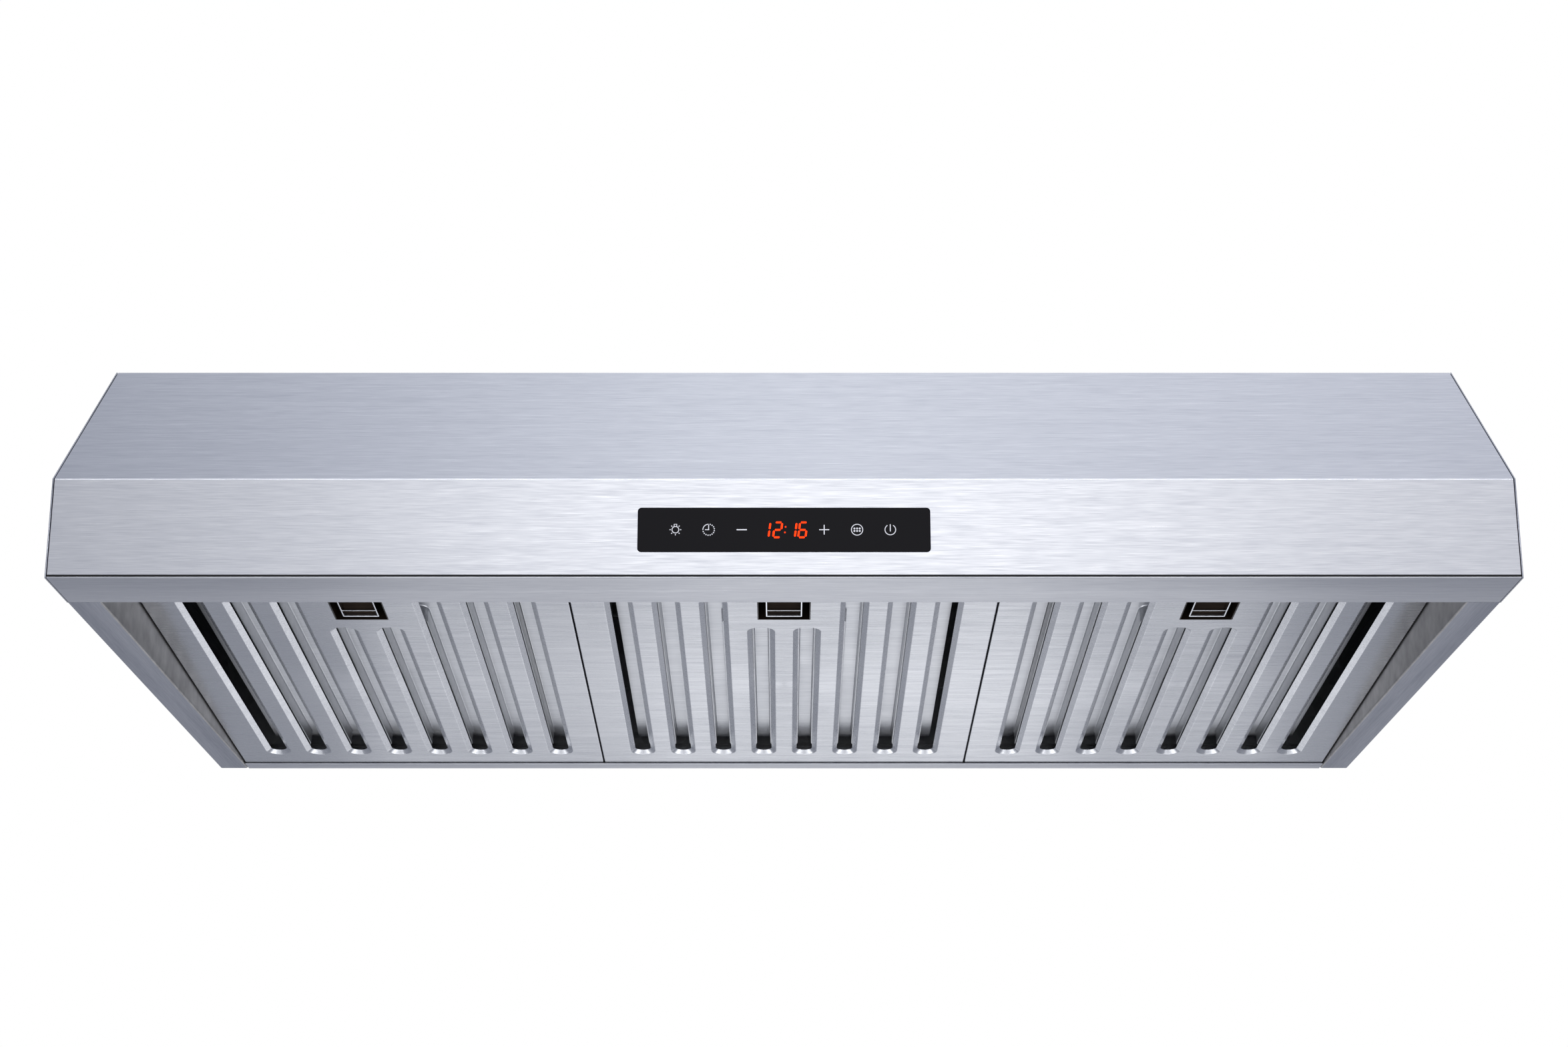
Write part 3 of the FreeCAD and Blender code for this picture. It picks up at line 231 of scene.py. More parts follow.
@once
def brushed(name, light, dark, rough, grain_mm, bump, anisotropic=0.5):
    """Sheet brushed in one direction: fine parallel scratches with a soft, streaky sheen."""
    material, tree = blank(name)
    fine = streaks(tree, grain_mm, 2.0, 0.0)
    broad = streaks(tree, [value * 7 for value in grain_mm], 3.0, 4.0)
    mottle = add(tree, "ShaderNodeMix", {"Factor": 0.28, "A": fine, "B": broad}).outputs[0]
    return coated(material, {
        "Base Color": mixed(tree, ranged(tree, mottle, 0.0, 1.0), dark, light),
        "Metallic": 1.0, "Roughness": ranged(tree, mottle, rough + 0.06, rough - 0.04),
        "Anisotropic": anisotropic, "Anisotropic Rotation": 0.25,
        "Normal": bumped(tree, fine, bump)})


# name, light and dark colour, roughness, grain along each axis in mm, relief, anisotropy
STEELS = {
    # the canopy's sheet on the side walls, its grain running front to back
    "side": ("stainless_304_side_wall", "B4B6BC", "9C9FA8", 0.34, (0.9, 30, 0.9), 0.08, 0.4),
    # mill finish 2B inside faces: dull, slightly warm and cloudy
    "return": ("stainless_2b_mill_finish", "A7A5A3", "8E8C8B", 0.42, (14, 14, 14), 0.05, 0.0),
    # 430 stainless of the filter trays: a finer, brighter brushing than the canopy
    "tray": ("stainless_430_filter_brushed", "D0D1D4", "BCBEC2", 0.25, (34, 1.0, 1.0), 0.05),
    # 430 stainless of the inner baffles, with a short grain across the hood, painted lighter than
    # the trays' same steel: painted light on webs that sit in shade behind the slots
    "baffle": ("stainless_430_baffle_brushed", "E2E3E5", "C6C8CB", 0.34, (22, 0.8, 0.8), 0.10),
}

# name, light and dark colour, roughness, metallic, grain in mm; then IOR, coat and specular
FINISHES = {
    "chrome": ("chrome_plated_zinc", "D9DBDE", "CFD1D5", 0.10, 1.0, 0.7),
    "black_abs": ("abs_black_moulded", "191716", "120F0E", 0.38, 0.0, 0.5),
    "cup_abs": ("abs_smoke_brown_gloss", "2B221A", "1C1611", 0.3, 0.0, 0.9, 1.45, 0.0, 0.2),
    "grip_abs": ("abs_smoke_brown_matt", "33281F", "251C16", 0.6, 0.0, 0.9, 1.25, 0.0, 0.1),
    "zinc": ("steel_zinc_plated", "C3C4BE", "A9AAA6", 0.32, 1.0, 0.8),
    "enamel": ("baked_enamel_black", "202124", "17181A", 0.30, 0.0, 1.1, 1.5, 0.4),
    "can": ("aluminium_drawn", "CBCCCD", "B7B8BA", 0.28, 1.0, 0.6),
    "laminate": ("solder_mask_green", "12502C", "0D3E22", 0.35, 0.0, 0.7),
    # black rubber of the grommet and gasket; the same material is also the painted shade strip in
    # the lip's seam
    "rubber": ("epdm_rubber_black", "1B1B1B", "141414", 0.62, 0.0, 0.6),
    "braid": ("polyester_braid_black", "26262A", "141416", 0.6, 0.0, 1.6),
}


def canopy_steel():
    """304 stainless with a number 4 finish: grain across the hood, a soft even sheen."""
    light, dark = (*colours().steel, 1.0), (*colours().steel_dark, 1.0)
    return brushed("stainless_304_number_4_brushed", light, dark, 0.31, (20, 0.55, 0.55), 0.07)


def steel(kind):
    """One of the other brushed steels."""
    name, light, dark, *rest = STEELS[kind]
    return brushed(name, linear(light), linear(dark), *rest)


@once
def galvanised():
    """Hot dip galvanised sheet: dull zinc with large crystal spangles."""
    material, tree = blank("galvanised_sheet_spangled")
    place = add(tree, "ShaderNodeTexCoord").outputs["Object"]
    cells = add(tree, "ShaderNodeTexVoronoi", {"Vector": place, "Scale": 1 / (9 * MM)})
    facet = add(tree, "ShaderNodeSeparateColor", {"Color": cells.outputs["Color"]})
    gloss = ranged(tree, streaks(tree, (30, 30, 30), 3.0, 2.0), 0.36, 0.5)
    return coated(material, {
        "Base Color": mixed(tree, facet.outputs["Red"], linear("B2B5B8"), linear("9EA2A5")),
        "Metallic": 1.0, "Roughness": gloss})


@once
def plain(name, light, dark, rough, metallic, grain, ior=1.5, coat=0.0, specular=0.5):
    """Moulded, painted or plated surface with a fine grain and a little colour change."""
    material, tree = blank(name)
    fine = streaks(tree, (grain, grain, grain), 2.0, 1.0)
    cloud = streaks(tree, (25, 25, 25), 2.0, 6.0)
    inputs = {"Base Color": mixed(tree, ranged(tree, cloud, 0.0, 1.0), linear(light), linear(dark)),
              "Metallic": metallic, "Roughness": ranged(tree, fine, rough - 0.03, rough + 0.05),
              "Normal": bumped(tree, fine, 0.12)}
    if not metallic:
        inputs |= {"IOR": ior, "Coat Weight": coat, "Specular IOR Level": specular}
    return coated(material, inputs)


def finish(kind):
    """One of the plain finishes."""
    return plain(*FINISHES[kind])


@once
def touch_glass_black():
    """Tempered soda lime glass printed black behind: deep and very smooth."""
    material, tree = blank("tempered_glass_black_backed")
    gloss = ranged(tree, streaks(tree, (60, 60, 60), 1.0, 3.0), 0.05, 0.09)
    return coated(material, {"Base Color": linear("131216"), "Roughness": gloss, "IOR": 1.52,
                             "Specular IOR Level": 0.05})


@once
def lit(name, colour, strength):
    """Light shining through a clear print: a nearly even glow."""
    material, tree = blank(name)
    power = ranged(tree, streaks(tree, (0.8, 0.8, 0.8), 1.0, 5.0), strength * 0.85, strength)
    return coated(material, {"Color": colour, "Strength": power}, "ShaderNodeEmission")


@once
def frosted():
    """Opal polycarbonate lamp lens: milky, softly glossy."""
    material, tree = blank("polycarbonate_opal_lens")
    fine = streaks(tree, (0.6, 0.6, 0.6), 1.0, 2.0)
    return coated(material, {
        "Base Color": linear("F3F2EE"), "Roughness": ranged(tree, fine, 0.32, 0.42), "IOR": 1.58,
        "Normal": bumped(tree, fine, 0.2)})


# ---------------------------------------------------------------- mesh helpers
def place_mesh(name, mesh, material, angle=35, smooth=True):
    """Put a mesh in the scene as a piece, smooth except across sharp edges."""
    if smooth:
        for face in mesh.polygons:
            face.use_smooth = True
        mesh.set_sharp_from_angle(angle=math.radians(angle))
    piece = bpy.data.objects.new(name, mesh)
    bpy.context.scene.collection.objects.link(piece)
    piece.data.materials.append(material)
    return piece


def mesh_of(name, bm):
    """Turn a bmesh into a mesh and free it."""
    mesh = bpy.data.meshes.new(name)
    bm.to_mesh(mesh)
    bm.free()
    return mesh


def piece_from(name, bm, material, angle=35):
    """Turn a bmesh into a placed piece."""
    bmesh.ops.remove_doubles(bm, verts=bm.verts, dist=SAME_POINT)
    bmesh.ops.recalc_face_normals(bm, faces=bm.faces)
    return place_mesh(name, mesh_of(name, bm), material, angle)


def settle(piece):
    """Apply every modifier and keep the result as the piece's own mesh."""
    graph = bpy.context.evaluated_depsgraph_get()
    graph.update()
    mesh = bpy.data.meshes.new_from_object(piece.evaluated_get(graph))
    piece.modifiers.clear()
    piece.data = mesh
    return piece


def soften(piece, width, segments=1, angle=50):
    """Deburr the edges that are sharper than an angle."""
    bevel = piece.modifiers.new("edge", "BEVEL")
    bevel.width = width
    bevel.segments = segments
    bevel.limit_method = "ANGLE"
    bevel.angle_limit = math.radians(angle)
    settle(piece)
    return even(piece)


def even(piece, angle=50):
    """Shade flat faces flat and bends round."""
    piece.data.set_sharp_from_angle(angle=math.radians(angle))
    weights = piece.modifiers.new("shading", "WEIGHTED_NORMAL")
    weights.keep_sharp = True
    weights.weight = 80
    return settle(piece)


def turned_path(corners, radius, steps=6):
    """Open path through 2D corners, each inner corner turned by an arc of the radius."""
    points = [Vector(corners[0])]
    for before, corner, after in zip(corners, corners[1:], corners[2:]):
        corner = Vector(corner)
        inward = (Vector(before) - corner).normalized()
        outward = (Vector(after) - corner).normalized()
        half = inward.angle(outward) / 2
        centre = corner + (inward + outward).normalized() * (radius / math.sin(half))
        start = corner + inward * (radius / math.tan(half))
        sweep = (start - centre).angle_signed(corner + outward * (radius / math.tan(half)) - centre)
        for k in range(steps + 1):
            turn = Matrix.Rotation(-sweep * k / steps, 2)
            points.append(centre + turn @ (start - centre))
    points.append(Vector(corners[-1]))
    return points


def heading(ahead, behind):
    """Direction of a path at a point, midway between the steps before and after it."""
    return (ahead.normalized() + behind.normalized()).normalized()


def thick_section(path, thickness):
    """Closed section of a sheet that lies to the left of a path."""
    inner = []
    for i, point in enumerate(path):
        ahead = path[i + 1] - point if i + 1 < len(path) else Vector((0, 0))
        behind = point - path[i - 1] if i else Vector((0, 0))
        along = heading(ahead, behind)
        side = Vector((-along.y, along.x))
        stretch = 1.0
        if ahead.length and behind.length:
            stretch = 1 / max(0.5, math.cos(ahead.angle(behind) / 2))
        inner.append(point + side * thickness * stretch)
    return list(path) + inner[::-1]


def band(bm, lower, upper):
    """Closed band of faces between two rings of vertices."""
    for i in range(len(lower)):
        j = (i + 1) % len(lower)
        bm.faces.new((lower[i], lower[j], upper[j], upper[i]))


def sweep(bm, section, across, start, stop):
    """Prism of a closed 2D section along X (section in Y, Z) or along Y (section in X, Z)."""
    def corner(point, station):
        return (station, point[0], point[1]) if across == "X" else (point[0], station, point[1])
    rings = [[bm.verts.new(corner(p, s)) for p in section] for s in (start, stop)]
    band(bm, *rings)
    count = len(section)
    half = count // 2
    for ring in rings:
        for i in range(half - 1):
            bm.faces.new((ring[i], ring[i + 1], ring[count - 2 - i], ring[count - 1 - i]))
    return bm


def prism(bm, points, push):
    """Solid from a flat closed outline pushed along a vector."""
    low = [bm.verts.new(p) for p in points]
    high = [bm.verts.new(Vector(p) + Vector(push)) for p in points]
    bm.faces.new(low)
    bm.faces.new(high[::-1])
    band(bm, high, low)
    return bm


def arc(radius, start, stop, steps, centre=(0, 0)):
    """Points of an arc, angles in degrees."""
    angles = [math.radians(start + (stop - start) * k / steps) for k in range(steps + 1)]
    return [(centre[0] + radius * math.cos(a), centre[1] + radius * math.sin(a)) for a in angles]


def round_rectangle(half_x, low_y, high_y, corner, steps=6):
    """Rounded rectangle, counterclockwise."""
    points = []
    corner = max(corner, 1e-5)
    x, low, high = half_x - corner, low_y + corner, high_y - corner
    for centre, start in (((x, low), -90), ((x, high), 0), ((-x, high), 90), ((-x, low), 180)):
        points += arc(corner, start, start + 90, steps, centre)
    return points


def stadium(x, low, high, radius, steps=14):
    """Round ended slot along y, counterclockwise."""
    return arc(radius, 0, 180, steps, (x, high)) + arc(radius, 180, 360, steps, (x, low))


def cut(piece, knife):
    """Cut a bmesh or another piece out of a piece."""
    cutter = knife
    if not isinstance(knife, bpy.types.Object):
        cutter = piece_from("cutter", knife, piece.data.materials[0])
    boolean = piece.modifiers.new("cut", "BOOLEAN")
    boolean.object = cutter
    boolean.solver = "EXACT"
    settle(piece)
    bpy.data.objects.remove(cutter)
    return piece


def grain_map(piece, along=0):
    """UV map whose u runs along the brushing, so the sheen stretches across it."""
    mesh = piece.data
    while mesh.uv_layers:
        mesh.uv_layers.remove(mesh.uv_layers[0])
    layer = mesh.uv_layers.new(name="grain")
    others = [k for k in range(3) if k != along]
    for loop in mesh.loops:
        co = mesh.vertices[loop.vertex_index].co
        layer.data[loop.index].uv = (co[along], co[others[0]] * 0.83 + co[others[1]] * 1.17)
    return piece


def carry(piece, body, slot_name, *nodes):
    """Ride a piece on its body, in place of its CAD nodes."""
    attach(piece, body)
    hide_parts(*nodes)
    return piece


def make(name, bm, material, place, *nodes, edge=None, grain=None, angle=35):
    """Piece from a bmesh, deburred and grained, carried by its body; the slot name in its place is
    not used.
    """
    piece = piece_from(name, bm, material, angle)
    if edge:
        soften(piece, *edge)
    if grain is not None:
        grain_map(piece, grain)
    return carry(piece, *place, *nodes)


def repaint(material, *nodes):
    """Give CAD nodes a better material."""
    for name in nodes:
        slots = frame["nodes"][name].data.materials
        if slots:
            for index in range(len(slots)):
                slots[index] = material
        else:
            slots.append(material)


# ---------------------------------------------------------------- geometry nodes
def start_tree(name, extra):
    """Geometry tree with a geometry input, number inputs and a geometry output."""
    tree = bpy.data.node_groups.new(name, "GeometryNodeTree")
    tree.interface.new_socket("Geometry", in_out="INPUT", socket_type="NodeSocketGeometry")
    for label, kind, value in extra:
        socket = tree.interface.new_socket(label, in_out="INPUT", socket_type=kind)
        socket.default_value = value
    tree.interface.new_socket("Material", in_out="INPUT", socket_type="NodeSocketMaterial")
    tree.interface.new_socket("Geometry", in_out="OUTPUT", socket_type="NodeSocketGeometry")
    return tree, add(tree, "NodeGroupInput"), add(tree, "NodeGroupOutput")


def end_tree(tree, source, instances, output):
    """Realise the instances, set their material and send them out."""
    real = add(tree, "GeometryNodeRealizeInstances", {"Geometry": instances})
    painted = add(tree, "GeometryNodeSetMaterial", {"Geometry": real.outputs[0],
                                                    "Material": source.outputs["Material"]})
    tree.links.new(painted.outputs[0], output.inputs[0])
    return tree


def grid_tree():
    """Repeat a piece at the points of a level grid round the origin."""
    tree, source, output = start_tree("grid", (
        ("Columns", "NodeSocketInt", 2), ("Rows", "NodeSocketInt", 2),
        ("Width", "NodeSocketFloat", 0.1), ("Depth", "NodeSocketFloat", 0.1)))
    grid = add(tree, "GeometryNodeMeshGrid", {
        "Vertices X": source.outputs["Columns"], "Vertices Y": source.outputs["Rows"],
        "Size X": source.outputs["Width"], "Size Y": source.outputs["Depth"]})
    copies = add(tree, "GeometryNodeInstanceOnPoints", {
        "Points": grid.outputs[0], "Instance": source.outputs["Geometry"]})
    return end_tree(tree, source, copies.outputs[0], output)


def ring_tree():
    """Repeat a piece round the X axis through its own origin."""
    tree, source, output = start_tree("ring", (("Count", "NodeSocketInt", 8),
                                               ("Start", "NodeSocketFloat", 0.0)))
    line = add(tree, "GeometryNodeMeshLine", {"Count": source.outputs["Count"],
                                              "Offset": (0, 0, 0)})
    index = add(tree, "GeometryNodeInputIndex")
    share = add(tree, "ShaderNodeMath", {0: index.outputs[0], 1: source.outputs["Count"]},
                operation="DIVIDE")
    turn = add(tree, "ShaderNodeMath", {0: share.outputs[0], 1: math.tau,
                                        2: source.outputs["Start"]}, operation="MULTIPLY_ADD")
    angles = add(tree, "ShaderNodeCombineXYZ", {"X": turn.outputs[0]})
    copies = add(tree, "GeometryNodeInstanceOnPoints", {
        "Points": line.outputs[0], "Instance": source.outputs["Geometry"],
        "Rotation": angles.outputs[0]})
    return end_tree(tree, source, copies.outputs[0], output)


def repeat(piece, tree, **inputs):
    """Run a geometry tree on a piece with named inputs and keep the plain mesh."""
    modifier = piece.modifiers.new(tree.name, "NODES")
    modifier.node_group = tree
    for item in tree.interface.items_tree:
        if item.in_out == "INPUT" and item.name in inputs:
            modifier[item.identifier] = inputs[item.name]
        if item.in_out == "INPUT" and item.name == "Material":
            modifier[item.identifier] = piece.data.materials[0]
    settle(piece)
    piece.data.set_sharp_from_angle(angle=math.radians(35))
    return piece


def merge(first, *others):
    """Join pieces into the first."""
    bm = bmesh.new()
    for piece in (first, *others):
        bm.from_mesh(piece.data)
    bmesh.ops.remove_doubles(bm, verts=bm.verts, dist=SAME_POINT)
    mesh = mesh_of(first.name, bm)
    mesh.materials.append(first.data.materials[0])
    first.data = mesh
    for piece in others:
        bpy.data.objects.remove(piece)
    return first


# ---------------------------------------------------------------- canopy
def glass_shape(margin, y):
    """Outline of the touch glass, grown by a margin, at a depth."""
    half_x = (GLASS_HIGH.x - GLASS_LOW.x) / 2 + margin
    points = round_rectangle(half_x, GLASS_LOW.z - margin, GLASS_HIGH.z + margin, 2 * MM + margin)
    return [(x, y, z) for x, z in points]


def build_canopy():
    """Top, slope and front in one sheet, with the glass window and the holes of the top."""
    s = sizes()
    crease = SKIN_HIGH.z - s.slope_rise
    corners = [(REAR, 0), (FRONT + s.slope_run, 0), (FRONT, crease), (FRONT, SKIN_LOW.z + 0.3 * MM)]
    section = thick_section(turned_path(corners, s.bend, 8), s.sheet)
    bm = sweep(bmesh.new(), section, "X", SKIN_LOW.x, SKIN_HIGH.x)
    skin = piece_from("canopy_sheet", bm, canopy_steel())
    knife = bmesh.new()
    prism(knife, glass_shape(0.25 * MM, FRONT - 5 * MM), (0, 8 * MM, 0))
    low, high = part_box("scroll_wrap")
    front, back = high.y - OUTLET_DEPTH, high.y - 1 * MM
    grommet = centre_of("cable_grommet")
    holes = [[(low.x, front), (high.x, front), (high.x, back), (low.x, back)],
             arc(CABLE_HOLE, 0, 345, 23, (grommet.x, grommet.y))]
    holes += [arc(BOLT_HOLE, 0, 345, 23, (sx * BOLT_X, sy * BOLT_Y))
              for sx in (-1, 1) for sy in (-1, 1)]
    for hole in holes:
        prism(knife, [(x, y, -5 * MM) for x, y in hole], (0, 0, 9 * MM))
    cut(skin, knife)
    soften(skin, s.edge, 2)
    grain_map(skin)
    carry(skin, *SHEET_STEEL, "canopy_skin")


def build_sides():
    """Side walls with rounded bottom fold and inner return."""
    s = sizes()
    lip_rear = LIP_HIGH.y
    for name, side in (("left", -1), ("right", 1)):
        low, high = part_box(f"{name}_side_panel")
        outer = high.x if side > 0 else -low.x
        inner = -high.x if side < 0 else low.x
        wall = [(FRONT, BOTTOM), (lip_rear, BOTTOM), (lip_rear, BOTTOM + s.fold),
                (REAR, BOTTOM + s.fold), (REAR, 0), (FRONT + s.slope_run, 0),
                (FRONT, -s.slope_rise)]
        bm = prism(bmesh.new(), [(side * outer, y, z) for y, z in wall], (-side * s.sheet, 0, 0))
        make(f"side_wall_{name}", bm, steel("side"), SHEET_STEEL, f"{name}_side_panel",
             edge=(s.edge,), grain=1)

        path = turned_path([(outer, BOTTOM + s.fold + 0.2 * MM), (outer, BOTTOM),
                            (inner, BOTTOM), (inner, BOTTOM + 44 * MM)], s.fold - 0.1 * MM)
        path = [Vector((side * p.x, p.y)) for p in path]
        if side < 0:
            path = path[::-1]
        bm = sweep(bmesh.new(), thick_section(path, -s.sheet), "Y", lip_rear, REAR - s.sheet)
        fold = make(f"side_fold_{name}", bm, steel("return"), SHEET_STEEL,
                    edge=(s.edge,), grain=1)
        fold.data.materials.append(steel("side"))
        for face in fold.data.polygons:
            if abs(face.center.x) > inner + s.fold * 0.8:
                face.material_index = 1


def oblong(low_y, high_y, low_z, high_z):
    """Rectangular section in Y, Z."""
    return [(low_y, low_z), (low_y, high_z), (high_y, high_z), (high_y, low_z)]


def build_bottom_rails():
    """Front lip and rear filter rail, each folded from its own sheet."""
    s = sizes()
    rise, hem = STRIP_LOW.z, 0.5 * MM
    before_fold = (LIP_HIGH.y - 6 * MM, BOTTOM)
    lip_path = turned_path([(FRONT, BOTTOM + 0.9 * MM), (FRONT, BOTTOM), before_fold], hem, 4)
    lip_path = lip_path[:-1] + turned_path(
        [before_fold, (LIP_HIGH.y, BOTTOM), (LIP_HIGH.y, rise)], s.fold, 6)
    bm = sweep(bmesh.new(), thick_section(lip_path, s.sheet * 0.95), "X", LIP_LOW.x, LIP_HIGH.x)
    behind = FRONT + s.sheet + 0.35 * MM
    sweep(bm, oblong(behind, behind + s.sheet, BOTTOM + 0.5 * MM, BOTTOM + 14 * MM),
          "X", LIP_LOW.x, LIP_HIGH.x)
    make("lip_sheet", bm, canopy_steel(), SHEET_STEEL, "front_lip",
         edge=(s.edge * 0.6,), grain=0)
    # black strip in the seam under the front panel: painted shade, where the real seam is only a
    # dark shadow gap
    bm = sweep(bmesh.new(), oblong(FRONT + 0.5 * MM, FRONT + 1.3 * MM, BOTTOM + 0.98 * MM,
                                   SKIN_LOW.z + 0.28 * MM), "X", LIP_LOW.x, LIP_HIGH.x)
    make("lip_seam_painted_shade_strip", bm, finish("rubber"), ("canopy", "grommet_rubber"))

    rail_path = turned_path([(RAIL_LOW.y, BOTTOM + 0.9 * MM), (RAIL_LOW.y, BOTTOM),
                             (REAR - 2 * MM, BOTTOM)], hem, 4)
    bm = sweep(bmesh.new(), thick_section(rail_path + [Vector((REAR, BOTTOM))], s.sheet * 0.95),
               "X", RAIL_LOW.x, RAIL_HIGH.x)
    sweep(bm, oblong(REAR - 2 * MM, REAR - 1 * MM, BOTTOM + 0.9 * MM, RAIL_HIGH.z),
          "X", RAIL_LOW.x, RAIL_HIGH.x)
    make("rear_rail_sheet", bm, canopy_steel(), SHEET_STEEL, "rear_filter_rail",
         edge=(s.edge * 0.6,), grain=0)


# ---------------------------------------------------------------- filters
def flange(bm, ring, profile, matrix):
    """Sheet that leaves the base outline of a ring along a profile of offset and rise."""
    loops = []
    for offset, rise in profile:
        loops.append([bm.verts.new(matrix @ Vector((x, y, rise))) for x, y in ring(offset)])
    for lower, upper in zip(loops, loops[1:]):
        band(bm, lower, upper)
    base = loops[0]
    return [bm.edges.get(pair) for pair in zip(base, base[1:] + base[:1])]


def bend_profile(radius, degrees, down, run=0.0, steps=5):
    """Bend of a radius through an angle, then a straight run; rise is down if asked."""
    sign = -1 if down else 1
    points = []
    for k in range(steps + 1):
        a = math.radians(degrees * k / steps)
        points.append((radius * math.sin(a), sign * radius * (1 - math.cos(a))))
    a = math.radians(degrees)
    last = points[-1]
    points.append((last[0] + run * math.cos(a), last[1] + sign * run * math.sin(a)))
    return points


def raised(profile, height):
    """Profile moved up."""
    return [(offset, rise + height) for offset, rise in profile]


def slot_places():
    """Column, rear end and front end of each air slot, in the filter's plane."""
    s = sizes()
    places = []
    for k in range(s.slot_count):
        x = (k - (s.slot_count - 1) / 2) * s.slot_pitch
        short = abs(x) < s.slot_pitch * 0.6
        places.append((x, SLOT_REAR, SHORT_SLOT_FRONT if short else SLOT_FRONT))
    return places


def sheet_from(name, bm, edges, material, matrix):
    """Fill the flat of a flanged sheet, thicken it inward and keep it as a piece."""
    bmesh.ops.triangle_fill(bm, use_beauty=True, use_dissolve=False, edges=edges)
    bmesh.ops.recalc_face_normals(bm, faces=bm.faces)
    down = matrix.to_3x3() @ Vector((0, 0, -1))
    flat = max(bm.faces, key=lambda f: f.calc_area())
    if flat.normal.dot(down) < 0:
        bmesh.ops.reverse_faces(bm, faces=bm.faces)
    piece = place_mesh(name, mesh_of(name, bm), material, 40)
    solid = piece.modifiers.new("sheet", "SOLIDIFY")
    solid.thickness = sizes().filter_sheet
    solid.offset = -1
    solid.use_even_offset = True
    settle(piece)
    return even(piece, 40)


def filter_plane(name):
    """Matrix from a filter's own plane to its place in the hood."""
    pivot = Vector(JOINTS[f"filter_{name}_tilt"]["pos_m"])
    return Matrix.Translation(pivot) @ Matrix.Rotation(FILTER_TILT, 4, "X")


def build_filter(name):
    """Tray and inner baffle of one filter."""
    s = sizes()
    matrix = filter_plane(name)
    low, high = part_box(f"filter_tray_{name}")
    half = (high.x - low.x) / 2
    corner, tight = 2.0 * MM, 0.7 * MM
    lip, run = 0.9 * MM, 4.2 * MM

    bm = bmesh.new()
    edges = flange(bm, lambda o: round_rectangle(half - tight + o, TRAY_FRONT + tight - o,
                                                 TRAY_REAR - tight + o, corner + o),
                   raised(bend_profile(tight, 90, False, TRAY_WALL, 5), TRAY_LIFT), matrix)
    slope = math.degrees(math.atan2(3, 4))
    for x, back, fore in slot_places():
        edges += flange(bm, lambda o, x=x, a=fore, b=back: stadium(x, a, b, s.slot_radius - o),
                        raised(bend_profile(lip, slope, False, run, 4), TRAY_LIFT), matrix)
    window = round_rectangle(WINDOW_HALF, WINDOW_FRONT, WINDOW_REAR, 1.2 * MM)
    edges += flange(bm, lambda o: window, [(0, TRAY_LIFT), (0, TRAY_LIFT + 0.01 * MM)], matrix)
    tray = sheet_from(f"filter_tray_sheet_{name}", bm, edges, steel("tray"), matrix)
    grain_map(tray)
    carry(tray, f"filter_{name}", "filter_stainless", f"filter_tray_{name}")

    bm = bmesh.new()
    edges = flange(bm, lambda o: round_rectangle(BAFFLE_HALF, BAFFLE_FRONT, BAFFLE_REAR, 1 * MM),
                   [(0, BAFFLE_LIFT), (0, BAFFLE_LIFT + 0.01 * MM)], matrix)
    inner, roll = s.slot_pitch / 2 - 5 * MM, 0.9 * MM
    for k in range(-3, 4):
        fore = (-329 if abs(k) < 2 else -375) * MM
        edges += flange(bm, lambda o, x=k * s.slot_pitch, a=fore: stadium(
            x, a, -40.5 * MM, inner + roll - o),
            raised(bend_profile(roll, 88, True, 9.7 * MM - roll, 6), BAFFLE_LIFT), matrix)
    baffle = sheet_from(f"filter_baffle_sheet_{name}", bm, edges, steel("baffle"), matrix)
    grain_map(baffle)
    carry(baffle, f"filter_{name}", "filter_stainless", f"filter_baffle_{name}")


def pan(bm, half_x, low_y, high_y, low, roof, wall, corner, matrix):
    """Box open at the bottom, with a rim of the wall's thickness."""
    rings = []
    for inset in (0, wall):
        outline = round_rectangle(half_x - inset, low_y + inset, high_y - inset,
                                  max(corner - inset, 0.2 * MM), 4)
        rings += [[bm.verts.new(matrix @ Vector((x, y, z))) for x, y in outline]
                  for z in (low, roof - inset)]
    outer, outer_top, inner, inner_top = rings
    band(bm, outer, outer_top)
    bm.faces.new(outer_top)
    band(bm, inner_top, inner)
    bm.faces.new(inner_top[::-1])
    band(bm, inner, outer)
    return bm


# sections of the finger pull in mm, along the filter and across it
DISH = (-387, 5.9), (-364, 5.6), (-358.5, 3.2), (-353.5, 2.6), (-353.5, 6.1), (-387, 6.1)
BRIGHT_EDGE = (-359.6, 2.7), (-358.6, 2.7), (-358.6, 3.5), (-359.6, 3.7)


def build_latch(name):
    """Cup with a thin bright rim and the finger pull inside it."""
    matrix = filter_plane(name)
    bm = pan(bmesh.new(), CUP_HALF, CUP_FRONT, CUP_REAR, 0.35 * MM, 13.6 * MM, 0.8 * MM,
             1.2 * MM, matrix)
    make(f"latch_cup_moulding_{name}", bm, finish("cup_abs"), (f"filter_{name}", "black_plastic"),
         f"latch_cup_{name}", edge=(0.15 * MM,))

    bm = pan(bmesh.new(), PULL_HALF, PULL_FRONT, PULL_REAR, 0.6 * MM, 7.2 * MM, 1.0 * MM,
             0.9 * MM, matrix)
    make(f"latch_pull_rim_{name}", bm, finish("chrome"), (f"latch_{name}", "chrome"),
         f"latch_pull_{name}", edge=(0.2 * MM, 2))
    reach = PULL_HALF - 1.05 * MM
    bm = prism(bmesh.new(), [(-reach, y * MM, z * MM) for y, z in DISH], (2 * reach, 0, 0))
    bm.transform(matrix)
    make(f"latch_pull_dish_{name}", bm, finish("grip_abs"), (f"latch_{name}", "black_plastic"),
         edge=(0.3 * MM, 2, 20))
    bm = prism(bmesh.new(), [(-reach, y * MM, z * MM) for y, z in BRIGHT_EDGE], (2 * reach, 0, 0))
    bm.transform(matrix)
    make(f"latch_pull_edge_{name}", bm, finish("chrome"), (f"latch_{name}", "chrome"))


